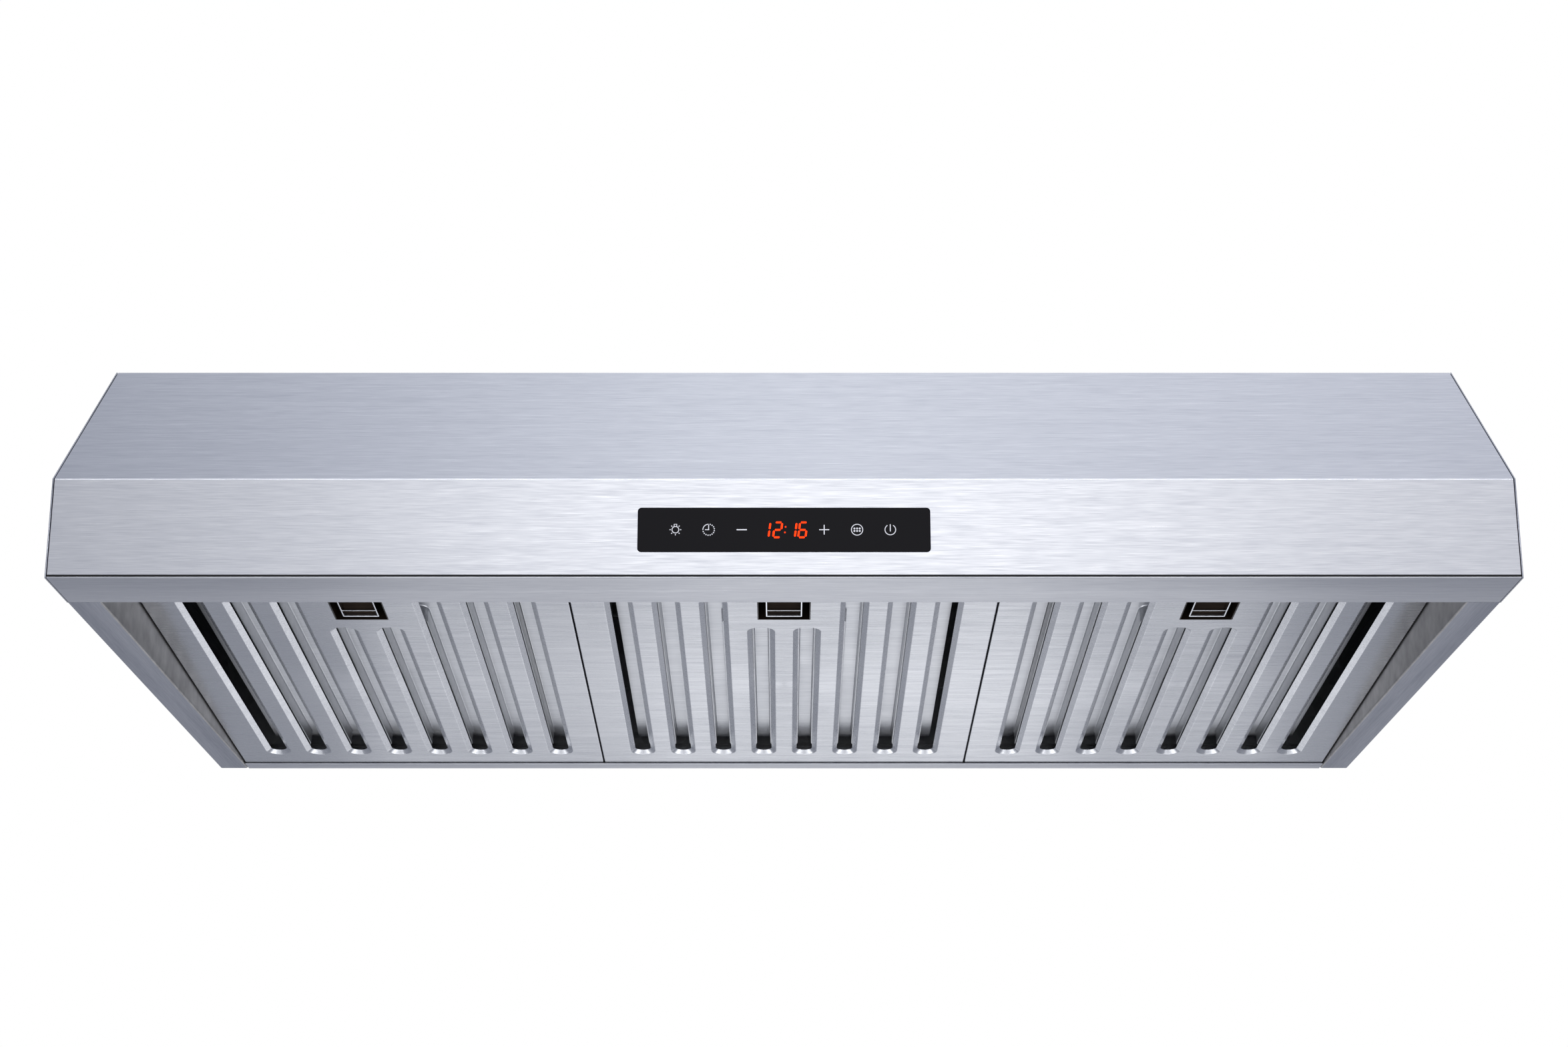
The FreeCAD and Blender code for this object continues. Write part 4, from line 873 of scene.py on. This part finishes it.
# ---------------------------------------------------------------- touch glass and its icons
def ribbon(bm, points, width, y, closed=False):
    """Flat line of a width through X, Z points."""
    points = [Vector(p) for p in points]
    count = len(points)
    rails = []
    for i, point in enumerate(points):
        ahead = points[(i + 1) % count] - point if closed or i + 1 < count else Vector((0, 0))
        behind = point - points[i - 1] if closed or i else Vector((0, 0))
        along = heading(ahead, behind)
        side = Vector((-along.y, along.x)) * width / 2
        rails.append([bm.verts.new((q.x, y, q.y)) for q in (point + side, point - side)])
    for i in range(count if closed else count - 1):
        a, b = rails[i], rails[(i + 1) % count]
        bm.faces.new((a[0], a[1], b[1], b[0]))
    if not closed:
        for point in (points[0], points[-1]):
            dot(bm, point, width / 2, y)


def dot(bm, centre, radius, y):
    """Flat round dot."""
    bm.faces.new([bm.verts.new((x, y, z)) for x, z in arc(radius, 0, 330, 11, centre)])


def shifted(points, dx, dz):
    """Points moved."""
    return [(x + dx, z + dz) for x, z in points]


PRINT_Y = GLASS_LOW.y - PRINT_DEPTH


def print_flat(name, bm, material):
    """Flat lit print on the glass."""
    bmesh.ops.recalc_face_normals(bm, faces=bm.faces)
    carry(place_mesh(name, mesh_of(name, bm), material, smooth=False), "canopy", "black_glass")


def build_icons():
    """Six lit icons: lamp, timer, less, more, menu and power."""
    s = sizes()
    y = PRINT_Y
    middle = (GLASS_LOW.z + GLASS_HIGH.z) / 2 + 0.1 * MM
    line = s.icon_line
    icons = {}

    def start(name, x):
        icons[name] = (bmesh.new(), x * MM)
        return icons[name]

    def stroke(icon, points, closed=False, width=line):
        bm, x = icon
        ribbon(bm, shifted([(px * MM, pz * MM) for px, pz in points], x, middle), width, y, closed)

    def spot(icon, px, pz, radius=0.45):
        bm, x = icon
        dot(bm, (x + px * MM, middle + pz * MM), radius * MM, y)

    lamp = start("icon_lamp", -67.0)
    stroke(lamp, arc(2.1, 0, 352.5, 47), True)
    stroke(lamp, [(-0.8, 1.9), (-0.8, 3.5), (0.8, 3.5), (0.8, 1.9)])
    for angle in (-90, -45, 0, 45, 135, 180, 225):
        a = math.radians(angle)
        stroke(lamp, [(radius * math.cos(a), radius * math.sin(a)) for radius in (3.1, 3.4)],
               width=line * 1.15)
    timer = start("icon_timer", -46.5)
    stroke(timer, arc(3.55, 95, 180, 16))
    for k in range(12):
        a = math.radians(-160 + 235 * k / 11)
        spot(timer, 3.55 * math.cos(a), 3.55 * math.sin(a), 0.4)
    stroke(timer, [(0, 3.0), (0, 0)])
    stroke(timer, [(0.15, 0), (-2.1, 0)])
    less = start("icon_less", -26.1)
    stroke(less, [(-2.9, 0), (2.9, 0)], width=line * 1.45)
    more = start("icon_more", 24.8)
    stroke(more, [(-2.9, 0), (2.9, 0)], width=line * 1.2)
    stroke(more, [(0, -2.9), (0, 2.9)], width=line * 1.2)
    menu = start("icon_menu", 45.1)
    stroke(menu, arc(3.5, 0, 352.5, 47), True)
    for px in (-1.65, 0, 1.65):
        for pz in (-0.8, 0.8):
            spot(menu, px, pz, 0.6)
    power = start("icon_power", 65.6)
    stroke(power, arc(3.3, 125, 415, 44))
    stroke(power, [(0, 3.3), (0, -0.9)], width=line * 1.15)
    glow = lit("backlit_print_white", (*colours().icon, 1.0), 0.95)
    for name, (bm, _) in icons.items():
        print_flat(name, bm, glow)


# lit segments of each figure, and the place of each figure in mm
SEGMENTS = {"1": "bc", "2": "abged", "6": "acdefg"}
CLOCK = ("1", -11.2), ("2", -3.9), ("1", 5.0), ("6", 11.6)


def build_clock():
    """Four seven segment digits and a colon, leaning a little."""
    s = sizes()
    y = PRINT_Y
    tall, wide, lean = s.digit, s.digit * 0.47, math.tan(math.radians(7))
    middle = (GLASS_LOW.z + GLASS_HIGH.z) / 2
    thick = s.digit * 0.13
    half, top = wide / 2, tall / 2
    ends = {"a": ((-half, top), (half, top)), "g": ((-half, 0), (half, 0)),
            "d": ((-half, -top), (half, -top)), "f": ((-half, top), (-half, 0)),
            "b": ((half, top), (half, 0)), "e": ((-half, 0), (-half, -top)),
            "c": ((half, 0), (half, -top))}
    bm = bmesh.new()
    for figure, x in CLOCK:
        for segment in SEGMENTS[figure]:
            (ax, az), (bx, bz) = ends[segment]
            a, b = Vector((ax, az)), Vector((bx, bz))
            along = (b - a).normalized()
            a, b = a + along * thick * 0.62, b - along * thick * 0.62
            side = Vector((-along.y, along.x)) * thick / 2
            tip = along * thick / 2
            shape = [a - tip * 0.6, a + side, b + side, b + tip * 0.6, b - side, a - side]
            bm.faces.new([bm.verts.new((x * MM + p.x + p.y * lean, y, middle + p.y))
                          for p in shape])
    for z in (-0.17, 0.2):
        dot(bm, (0.75 * MM + z * tall * lean, middle + z * tall), thick * 0.42, y)
    print_flat("clock_digits", bm, lit("led_segments_red", (*colours().clock, 1.0), 2.2))


def build_glass():
    """Glass with a ground edge, flush in its window."""
    bm = prism(bmesh.new(), glass_shape(0, GLASS_LOW.y), (0, 3 * MM, 0))
    make("touch_glass_plate", bm, touch_glass_black(), ("canopy", "black_glass"), "touch_glass",
         edge=(0.35 * MM, 2))


# ---------------------------------------------------------------- collar, lamps and blower
def turned(bm, profile, centre, axis, steps=72, closed=True, pleat=None):
    """Turned shape of radius and height pairs about an axis, closed on itself or capped."""
    rings = []
    for radius, along in profile:
        ring = []
        for k in range(steps):
            a = math.tau * k / steps
            r = radius - (pleat(a, along) if pleat else 0)
            spot = (r * math.cos(a), r * math.sin(a), along)
            spot = Vector(spot if axis == "Z" else (along, spot[0], spot[1]))
            ring.append(bm.verts.new(spot + Vector(centre)))
        rings.append(ring)
    pairs = list(zip(rings, rings[1:])) + ([(rings[-1], rings[0])] if closed else [])
    for lower, upper in pairs:
        band(bm, lower, upper)
    if not closed:
        bm.faces.new(rings[0][::-1])
        bm.faces.new(rings[-1])
    return bm


def centre_of(node):
    """Middle of a CAD node's box."""
    low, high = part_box(node)
    return (low + high) / 2


def measured(node):
    """Middle of a CAD node's box, and half its size along each axis."""
    low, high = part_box(node)
    return (low + high) / 2, [(b - a) / 2 for a, b in zip(low, high)]


def build_collar():
    """Duct collar: square base, flared foot, a rolled groove and a crimped top end."""
    base = COLLAR_LOW.z
    middle = centre_of("duct_collar")
    half, radius, wall = (COLLAR_HIGH.x - COLLAR_LOW.x) / 2, COLLAR_RADIUS, COLLAR_WALL
    top, sheet, foot = COLLAR_HIGH.z, 1 * MM, 3 * MM

    def pleat(angle, height):
        share = max(0.0, (height - (top - CRIMP)) / CRIMP)
        return min(1.0, 3 * share) * 0.8 * MM * (0.5 - 0.5 * math.cos(48 * angle))

    outer = [(radius + foot * (1 - math.sin(a)), base + sheet + foot * (1 - math.cos(a)))
             for a in (math.pi / 2 * k / 6 for k in range(7))]
    groove = top - 22 * MM
    outer += [(radius, groove - 3 * MM), (radius - 0.5 * MM, groove - 1.6 * MM),
              (radius - 0.9 * MM, groove), (radius - 0.5 * MM, groove + 1.6 * MM),
              (radius, groove + 3 * MM)]
    outer += [(radius, top - CRIMP + k * 2 * MM) for k in range(9)]
    inner = [(r - wall, z) for r, z in outer[:6:-1]] + [(radius - wall, base)]
    bm = turned(bmesh.new(), outer + inner + [(radius + foot, base)],
                (middle.x, middle.y, 0), "Z", 384, pleat=pleat)
    tube = piece_from("collar_tube", bm, galvanised(), 45)

    outline = [(x + middle.x, y + middle.y, base) for x, y in
               round_rectangle(half, -half, half, 4 * MM)]
    plate = piece_from("collar_base", prism(bmesh.new(), outline, (0, 0, sheet)), galvanised())
    knife = prism(bmesh.new(), [(x, y, base - sheet) for x, y in
                                arc(radius - wall / 2, 0, 357.5, 143, (middle.x, middle.y))],
                  (0, 0, 4 * sheet))
    cut(plate, knife)
    soften(plate, 0.2 * MM)
    merge(tube, plate)
    carry(even(tube, 45), "canopy", "galvanised_sheet", "duct_collar")


def pan_screw(name, length):
    """Pan head screw with a cross recess, its head seated on the origin and facing up."""
    head, rise, shank = SCREW_HEAD, SCREW_RISE, 1.9 * MM
    bm = turned(bmesh.new(), [(shank * 0.4, -length), (shank, -length + 2.5 * MM), (shank, 0),
                              (head, 0), (head, rise * 0.2), (head * 0.86, rise * 0.6),
                              (head * 0.6, rise * 0.88), (head * 0.3, rise)],
                (0, 0, 0), "Z", 32, closed=False)
    screw = piece_from(name, bm, finish("zinc"))
    arm, wide = 1.1 * MM, 0.28 * MM
    for half_x, half_y in ((arm, wide), (wide, arm)):
        knife = prism(bmesh.new(), [(x * half_x, y * half_y, rise * 0.45) for x, y in
                                    ((-1, -1), (1, -1), (1, 1), (-1, 1))], (0, 0, rise))
        cut(screw, knife)
    return screw


def screw_grid(name, place, width, depth, length, flip, *nodes):
    """Four screws at the corners of a rectangle, heads up or down."""
    screw = pan_screw(name, length)
    repeat(screw, grid_tree(), Columns=2, Rows=2, Width=width, Depth=depth)
    turn = Matrix.Rotation(math.pi if flip else 0, 4, "X")
    screw.data.transform(Matrix.Translation(place) @ turn)
    carry(screw, "canopy", "zinc_plated_steel", *nodes)


def build_screws():
    """Collar screws, and the lids of both boxes with their screws."""
    low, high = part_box("collar_screws")
    middle, pitch = centre_of("collar_screws"), high.x - low.x - 2 * SCREW_HEAD
    seat = high.z - SCREW_RISE
    screw_grid("collar_screw_set", (middle.x, middle.y, seat), pitch, pitch, seat - low.z, False,
               "collar_screws")
    for box in ("junction_box", "electronics_box"):
        low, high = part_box(box)
        middle, thick = (low + high) / 2, 0.8 * MM
        width, depth = high.x - low.x, high.y - low.y
        rim = round_rectangle(width / 2 + thick, -depth / 2 - thick, depth / 2 + thick, 3 * MM)
        outline = [(x + middle.x, y + middle.y, low.z - thick) for x, y in rim]
        make(f"{box}_lid", prism(bmesh.new(), outline, (0, 0, thick)), galvanised(),
             ("canopy", "galvanised_sheet"), edge=(0.2 * MM,))
        screw_grid(f"{box}_screws", (middle.x, middle.y, low.z - thick), width - 16 * MM,
                   depth - 16 * MM, 1.5 * MM, True)


def build_lamp(name):
    """Downlight: rounded chrome rim, finned body and a shallow lens with fine rings."""
    low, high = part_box(f"lamp_housing_{name}")
    middle = (low + high) / 2
    rim, body, clear = (high.x - low.x) / 2, 28 * MM, 26.7 * MM
    seat = STRIP_LOW.z
    profile = [(clear, low.z + 0.5 * MM), (clear + 0.5 * MM, low.z), (clear + 1.6 * MM, low.z),
               (rim - 0.7 * MM, low.z + 1.0 * MM), (rim, seat - 0.1 * MM), (body, seat)]
    for k in range(5):
        fin = seat + (4 + 3.4 * k) * MM
        profile += [(body, fin), (body - 1.2 * MM, fin + 0.3 * MM),
                    (body - 1.2 * MM, fin + 1.7 * MM), (body, fin + 2 * MM)]
    profile += [(body, high.z), (clear - 2 * MM, high.z), (clear - 2 * MM, seat + 1 * MM),
                (clear, seat + 1 * MM)]
    bm = turned(bmesh.new(), profile, (middle.x, middle.y, 0), "Z", 96)
    shell = piece_from(f"lamp_rim_{name}", bm, finish("chrome"), 30)
    carry(even(shell, 30), "canopy", "lamp_trim", f"lamp_housing_{name}")

    low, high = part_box(f"lamp_lens_{name}")
    radius = (high.x - low.x) / 2
    rings = 26
    face = [(radius * k / rings, low.z + 0.25 * MM + 0.18 * MM * (k % 2)) for k in range(1, rings)]
    bm = turned(bmesh.new(), face + [(radius, low.z + 0.5 * MM), (radius, high.z),
                                     (radius * 0.9, high.z)],
                (middle.x, middle.y, 0), "Z", 96, closed=False)
    make(f"lamp_lens_plate_{name}", bm, frosted(), ("canopy", "frosted_lens"),
         f"lamp_lens_{name}", angle=60)


def build_wheel():
    """Double inlet wheel: curved blades round a disc, with rolled end rings and a hub."""
    centre, (half, rim, _) = measured("impeller")
    root, thick = rim - 9.6 * MM, 0.5 * MM
    line = [Vector((rim - 0.6 * MM - (1 - t) * (rim - 0.6 * MM - root), 5 * MM * t * t))
            for t in (k / 6 for k in range(7))]
    blade = sweep(bmesh.new(), thick_section(line, thick), "X", -half + 1 * MM, half - 1 * MM)
    wheel = piece_from("wheel_blades", blade, galvanised(), 60)
    repeat(wheel, ring_tree(), Count=BLADE_COUNT, Start=0.0)
    bm = bmesh.new()
    inside, outside, deep, thin = root - 1 * MM, rim, 2.2 * MM, 0.8 * MM
    for side in (-1, 1):
        edge = side * half
        back, floor = edge - side * deep, edge - side * thin
        turned(bm, [(inside, edge), (inside, back), (inside + thin, back), (inside + thin, floor),
                    (outside - thin, floor), (outside - thin, back), (outside, back),
                    (outside, edge)], (0, 0, 0), "X", 96)
    turned(bm, [(5 * MM, -0.5 * MM), (rim, -0.5 * MM), (rim, 0.5 * MM), (5 * MM, 0.5 * MM)],
           (0, 0, 0), "X", 96)
    turned(bm, [(4.2 * MM, -12 * MM), (11 * MM, -12 * MM), (12 * MM, -11 * MM),
                (12 * MM, 11 * MM), (11 * MM, 12 * MM), (4.2 * MM, 12 * MM)], (0, 0, 0), "X", 48)
    rings = piece_from("rings", bm, galvanised(), 40)
    merge(wheel, rings)
    wheel.data.transform(Matrix.Translation(centre))
    carry(even(wheel, 40), "blower_wheel", "wheel_steel", "impeller")


def build_motor_details():
    """Vented motor end cap and the capacitor can with its rolled rims."""
    centre, (thick, radius, _) = measured("motor_end_cap")
    bm = turned(bmesh.new(), [(5 * MM, -thick), (12 * MM, -thick), (radius - 1 * MM, -thick),
                              (radius, 0), (radius, thick), (5 * MM, thick)], (0, 0, 0), "X", 96)
    cap = piece_from("motor_cap_vented", bm, finish("enamel"))
    knife = prism(bmesh.new(), [(-3 * MM, 16 * MM, -2.2 * MM), (-3 * MM, 31 * MM, -2.8 * MM),
                                (-3 * MM, 31 * MM, 2.8 * MM), (-3 * MM, 16 * MM, 2.2 * MM)],
                  (6 * MM, 0, 0))
    slots = piece_from("cutter", knife, finish("enamel"))
    repeat(slots, ring_tree(), Count=10, Start=0.2)
    cut(cap, slots)
    cap.data.transform(Matrix.Translation(centre))
    soften(cap, 0.2 * MM)
    carry(cap, "canopy", "motor_enamel", "motor_end_cap")

    centre, (half, radius, _) = measured("run_capacitor")
    profile = [(radius * 0.8, -half + 1.4 * MM), (radius * 0.86, -half), (radius, -half),
               (radius, -half + 2 * MM), (radius * 0.97, -half + 3 * MM),
               (radius * 0.97, half - 2 * MM), (radius * 0.9, half)]
    bm = turned(bmesh.new(), profile, centre, "X", 64, closed=False)
    can = piece_from("capacitor_can", bm, finish("can"))
    carry(even(can, 40), "canopy", "capacitor_can", "run_capacitor")


# ---------------------------------------------------------------- carried CAD nodes
def paint_carried():
    """Materials of the CAD nodes that stay as they are."""
    repaint(galvanised(), "back_panel", "rear_outlet_cover", "mounting_bar_left",
            "mounting_bar_right", "scroll_wrap", "scroll_cheek_left", "scroll_cheek_right",
            "junction_box", "electronics_box", "motor_bracket", "damper_flap_front",
            "damper_flap_rear")
    repaint(canopy_steel(), "light_strip")
    repaint(finish("zinc"), "motor_rotor", "damper_pin",
            *[f"latch_bolt_{n}" for n in THREE], *[f"latch_spring_{n}" for n in THREE])
    repaint(finish("laminate"), "led_board_left", "led_board_right", "touch_board",
            "power_board")
    repaint(finish("black_abs"), "control_carrier", "terminal_block", "clock_display")
    repaint(finish("enamel"), "motor_case")
    repaint(finish("rubber"), "cable_grommet", "collar_gasket")
    repaint(finish("braid"), "wiring_harness")


# ---------------------------------------------------------------- stage
FLOOR_HALF, FLOOR_LEVEL = 60.0, -2.6
LENS, SENSOR, CAMERA_BACK, CAMERA_DROP, CAMERA_PITCH = 62.76, 36.0, 1.6115, 0.4665, 17.29

# shades of the world from below to above, and from left to right
UPWARD = ((0.0, "747578"), (0.42, "9A9CA0"), (0.54, "CDCED2"), (0.66, "FBFBFC"), (0.76, "EAEBEE"),
          (0.88, "D6D9E0"), (0.97, "D8DBE3"), (1.0, "C4C8D2"))
ACROSS = ((0.0, "7E8088"), (0.2, "A4A6AC"), (0.35, "DADBDF"), (0.5, "FFFFFF"), (0.72, "E4E4E7"),
          (1.0, "ABADB4"))

# area lights: name, place, aim, width, height, watts
LIGHTS = (
    ("front_low", (0.0, -2.6, -0.75), (0, -0.2, -0.2), 1.8, 0.35, 5),
    ("front_glow", (0.05, -2.4, 0.45), (0, -0.3, -0.15), 1.0, 0.6, 1.5),
    ("behind_card", (0.05, 1.9, -0.98), (0, 0.0, -0.17), 1.35, 0.5, 1.1),
    ("centre_card", (0.1, 1.88, -0.97), (0, 0.0, -0.17), 0.6, 0.5, 0.36),
    ("under_card", (0.0, 0.35, -1.05), (0, 0.1, -0.17), 1.3, 0.4, 3.2),
    ("crease_strip", (0.0, -2.4, 1.95), (0, -0.3, -0.1), 3.2, 0.2, 16),
    ("rear_fill", (0.3, 2.6, 0.9), (0, 0.2, -0.05), 1.8, 1.0, 12),
    ("left_fill", (-2.6, 0.7, 0.15), (-0.45, 0, -0.1), 1.2, 1.0, 9),
    ("right_fill", (2.6, 0.7, 0.15), (0.45, 0, -0.1), 1.2, 1.0, 6),
    ("top", (0.0, -0.8, 2.6), (0, 0, 0), 2.4, 1.2, 3))


def build_floor():
    """Pale floor far below, paler still when the camera sees it."""
    bm = bmesh.new()
    bm.faces.new([bm.verts.new((x * FLOOR_HALF, y * FLOOR_HALF, FLOOR_LEVEL)) for x, y in
                  ((-1, -1), (1, -1), (1, 1), (-1, 1))])
    material, tree = blank("studio_floor_matt")
    cloud = ranged(tree, streaks(tree, (400, 400, 400), 2.0, 0.0), 0.0, 1.0)
    paint = mixed(tree, cloud, (*colours().floor, 1.0), linear("BBBCBF"))
    direct = add(tree, "ShaderNodeLightPath").outputs["Is Camera Ray"]
    coated(material, {"Base Color": mixed(tree, direct, paint, linear("E2E3E5")),
                      "Roughness": 0.7})
    piece_from("studio_floor", bm, material)


def build_world():
    """Studio surroundings by direction, plain white to the camera."""
    world = bpy.data.worlds.new("studio")
    bpy.context.scene.world = world
    world.use_nodes = True
    tree = world.node_tree
    tree.nodes.clear()
    direction = add(tree, "ShaderNodeTexCoord").outputs["Generated"]
    split = add(tree, "ShaderNodeSeparateXYZ", {"Vector": direction})
    height = ramp(tree, ranged(tree, split.outputs["Z"], 0.0, 1.0, -1.0, 1.0), UPWARD)
    across = ramp(tree, ranged(tree, split.outputs["X"], 0.0, 1.0, -0.5, 0.5), ACROSS)
    sky = mixed(tree, 1.0, height, across, "MULTIPLY")
    soft = add(tree, "ShaderNodeBackground", {"Color": sky, "Strength": 1.8})
    plainly = add(tree, "ShaderNodeBackground", {"Color": (1, 1, 1, 1), "Strength": 1.0})
    seen = add(tree, "ShaderNodeLightPath")
    both = add(tree, "ShaderNodeMixShader", {0: seen.outputs["Is Camera Ray"],
                                             1: soft.outputs[0], 2: plainly.outputs[0]})
    end = add(tree, "ShaderNodeOutputWorld")
    tree.links.new(both.outputs[0], end.inputs["Surface"])


def build_lights():
    """Soft area lights, none of them seen by the camera."""
    for name, place, aim, width, height, watts in LIGHTS:
        data = bpy.data.lights.new(name, "AREA")
        data.shape = "RECTANGLE"
        data.size, data.size_y = width, height
        data.energy = watts
        lamp = bpy.data.objects.new(name, data)
        lamp.location = place
        lamp.rotation_euler = (Vector(aim) - Vector(place)).to_track_quat("-Z", "Y").to_euler()
        lamp.visible_camera = False
        bpy.context.scene.collection.objects.link(lamp)


def build_camera():
    """Camera in front of the hood, below it and looking up."""
    scene = bpy.context.scene
    data = bpy.data.cameras.new("camera")
    data.lens, data.sensor_width = LENS, SENSOR
    camera = bpy.data.objects.new("camera", data)
    camera.location = (0.0, FRONT - CAMERA_BACK, BOTTOM - CAMERA_DROP)
    camera.rotation_euler = (math.radians(90 + CAMERA_PITCH), 0, 0)
    scene.collection.objects.link(camera)
    scene.camera = camera
    scene.view_settings.view_transform = "Standard"


# ---------------------------------------------------------------- operators and panel
class HOOD_OT_stage(bpy.types.Operator):
    """Build the floor, the lights and the camera"""
    bl_idname = "hood.stage"
    bl_label = "Stage"

    def execute(self, context):
        build_floor()
        build_world()
        build_lights()
        build_camera()
        return {"FINISHED"}


class HOOD_OT_canopy(bpy.types.Operator):
    """Build the folded canopy sheet"""
    bl_idname = "hood.canopy"
    bl_label = "Canopy"

    def execute(self, context):
        build_canopy()
        return {"FINISHED"}


class HOOD_OT_sides(bpy.types.Operator):
    """Build both side walls with their folds"""
    bl_idname = "hood.sides"
    bl_label = "Side walls"

    def execute(self, context):
        build_sides()
        return {"FINISHED"}


class HOOD_OT_rails(bpy.types.Operator):
    """Build the front lip and the rear filter rail"""
    bl_idname = "hood.rails"
    bl_label = "Lip and rail"

    def execute(self, context):
        build_bottom_rails()
        return {"FINISHED"}


class HOOD_OT_filters(bpy.types.Operator):
    """Build the tray and baffle of the three filters"""
    bl_idname = "hood.filters"
    bl_label = "Filters"

    def execute(self, context):
        for name in THREE:
            build_filter(name)
        return {"FINISHED"}


class HOOD_OT_latches(bpy.types.Operator):
    """Build the latch of each filter"""
    bl_idname = "hood.latches"
    bl_label = "Latches"

    def execute(self, context):
        for name in THREE:
            build_latch(name)
        return {"FINISHED"}


class HOOD_OT_touch_panel(bpy.types.Operator):
    """Build the touch glass with its icons and clock"""
    bl_idname = "hood.touch_panel"
    bl_label = "Touch panel"

    def execute(self, context):
        build_glass()
        build_icons()
        build_clock()
        return {"FINISHED"}


class HOOD_OT_duct(bpy.types.Operator):
    """Build the duct collar and its screws"""
    bl_idname = "hood.duct"
    bl_label = "Duct collar"

    def execute(self, context):
        build_collar()
        build_screws()
        return {"FINISHED"}


class HOOD_OT_lamps(bpy.types.Operator):
    """Build both downlights"""
    bl_idname = "hood.lamps"
    bl_label = "Lamps"

    def execute(self, context):
        for name in ("left", "right"):
            build_lamp(name)
        return {"FINISHED"}


class HOOD_OT_blower(bpy.types.Operator):
    """Build the wheel, the motor's end cap and the capacitor"""
    bl_idname = "hood.blower"
    bl_label = "Blower"

    def execute(self, context):
        build_wheel()
        build_motor_details()
        return {"FINISHED"}


class HOOD_OT_finishes(bpy.types.Operator):
    """Paint the pieces kept from the frame"""
    bl_idname = "hood.finishes"
    bl_label = "Finishes"

    def execute(self, context):
        paint_carried()
        return {"FINISHED"}


OPERATORS = [HOOD_OT_stage, HOOD_OT_canopy, HOOD_OT_sides, HOOD_OT_rails,
             HOOD_OT_filters, HOOD_OT_latches, HOOD_OT_touch_panel, HOOD_OT_duct,
             HOOD_OT_lamps, HOOD_OT_blower, HOOD_OT_finishes]


class HOOD_PT_panel(bpy.types.Panel):
    """Hood tools in the sidebar"""
    bl_label = "Range hood"
    bl_space_type = "VIEW_3D"
    bl_region_type = "UI"
    bl_category = "Hood"

    def draw(self, context):
        layout = self.layout
        for item in OPERATORS:
            layout.operator(item.bl_idname)
        for group in (context.scene.hood_sizes, context.scene.hood_colours):
            for key in group.__annotations__:
                layout.prop(group, key)


CLASSES = [HoodSizes, HoodColours, *OPERATORS, HOOD_PT_panel]


def register():
    """Register the classes and settings."""
    for item in CLASSES:
        bpy.utils.register_class(item)
    bpy.types.Scene.hood_sizes = PointerProperty(type=HoodSizes)
    bpy.types.Scene.hood_colours = PointerProperty(type=HoodColours)


def unregister():
    """Remove the settings and classes."""
    del bpy.types.Scene.hood_colours
    del bpy.types.Scene.hood_sizes
    for item in reversed(CLASSES):
        bpy.utils.unregister_class(item)


def main():
    """Build everything in order."""
    register()
    for item in OPERATORS:
        getattr(bpy.ops.hood, item.bl_idname.split(".")[1])()


if __name__ == "__main__":
    main()
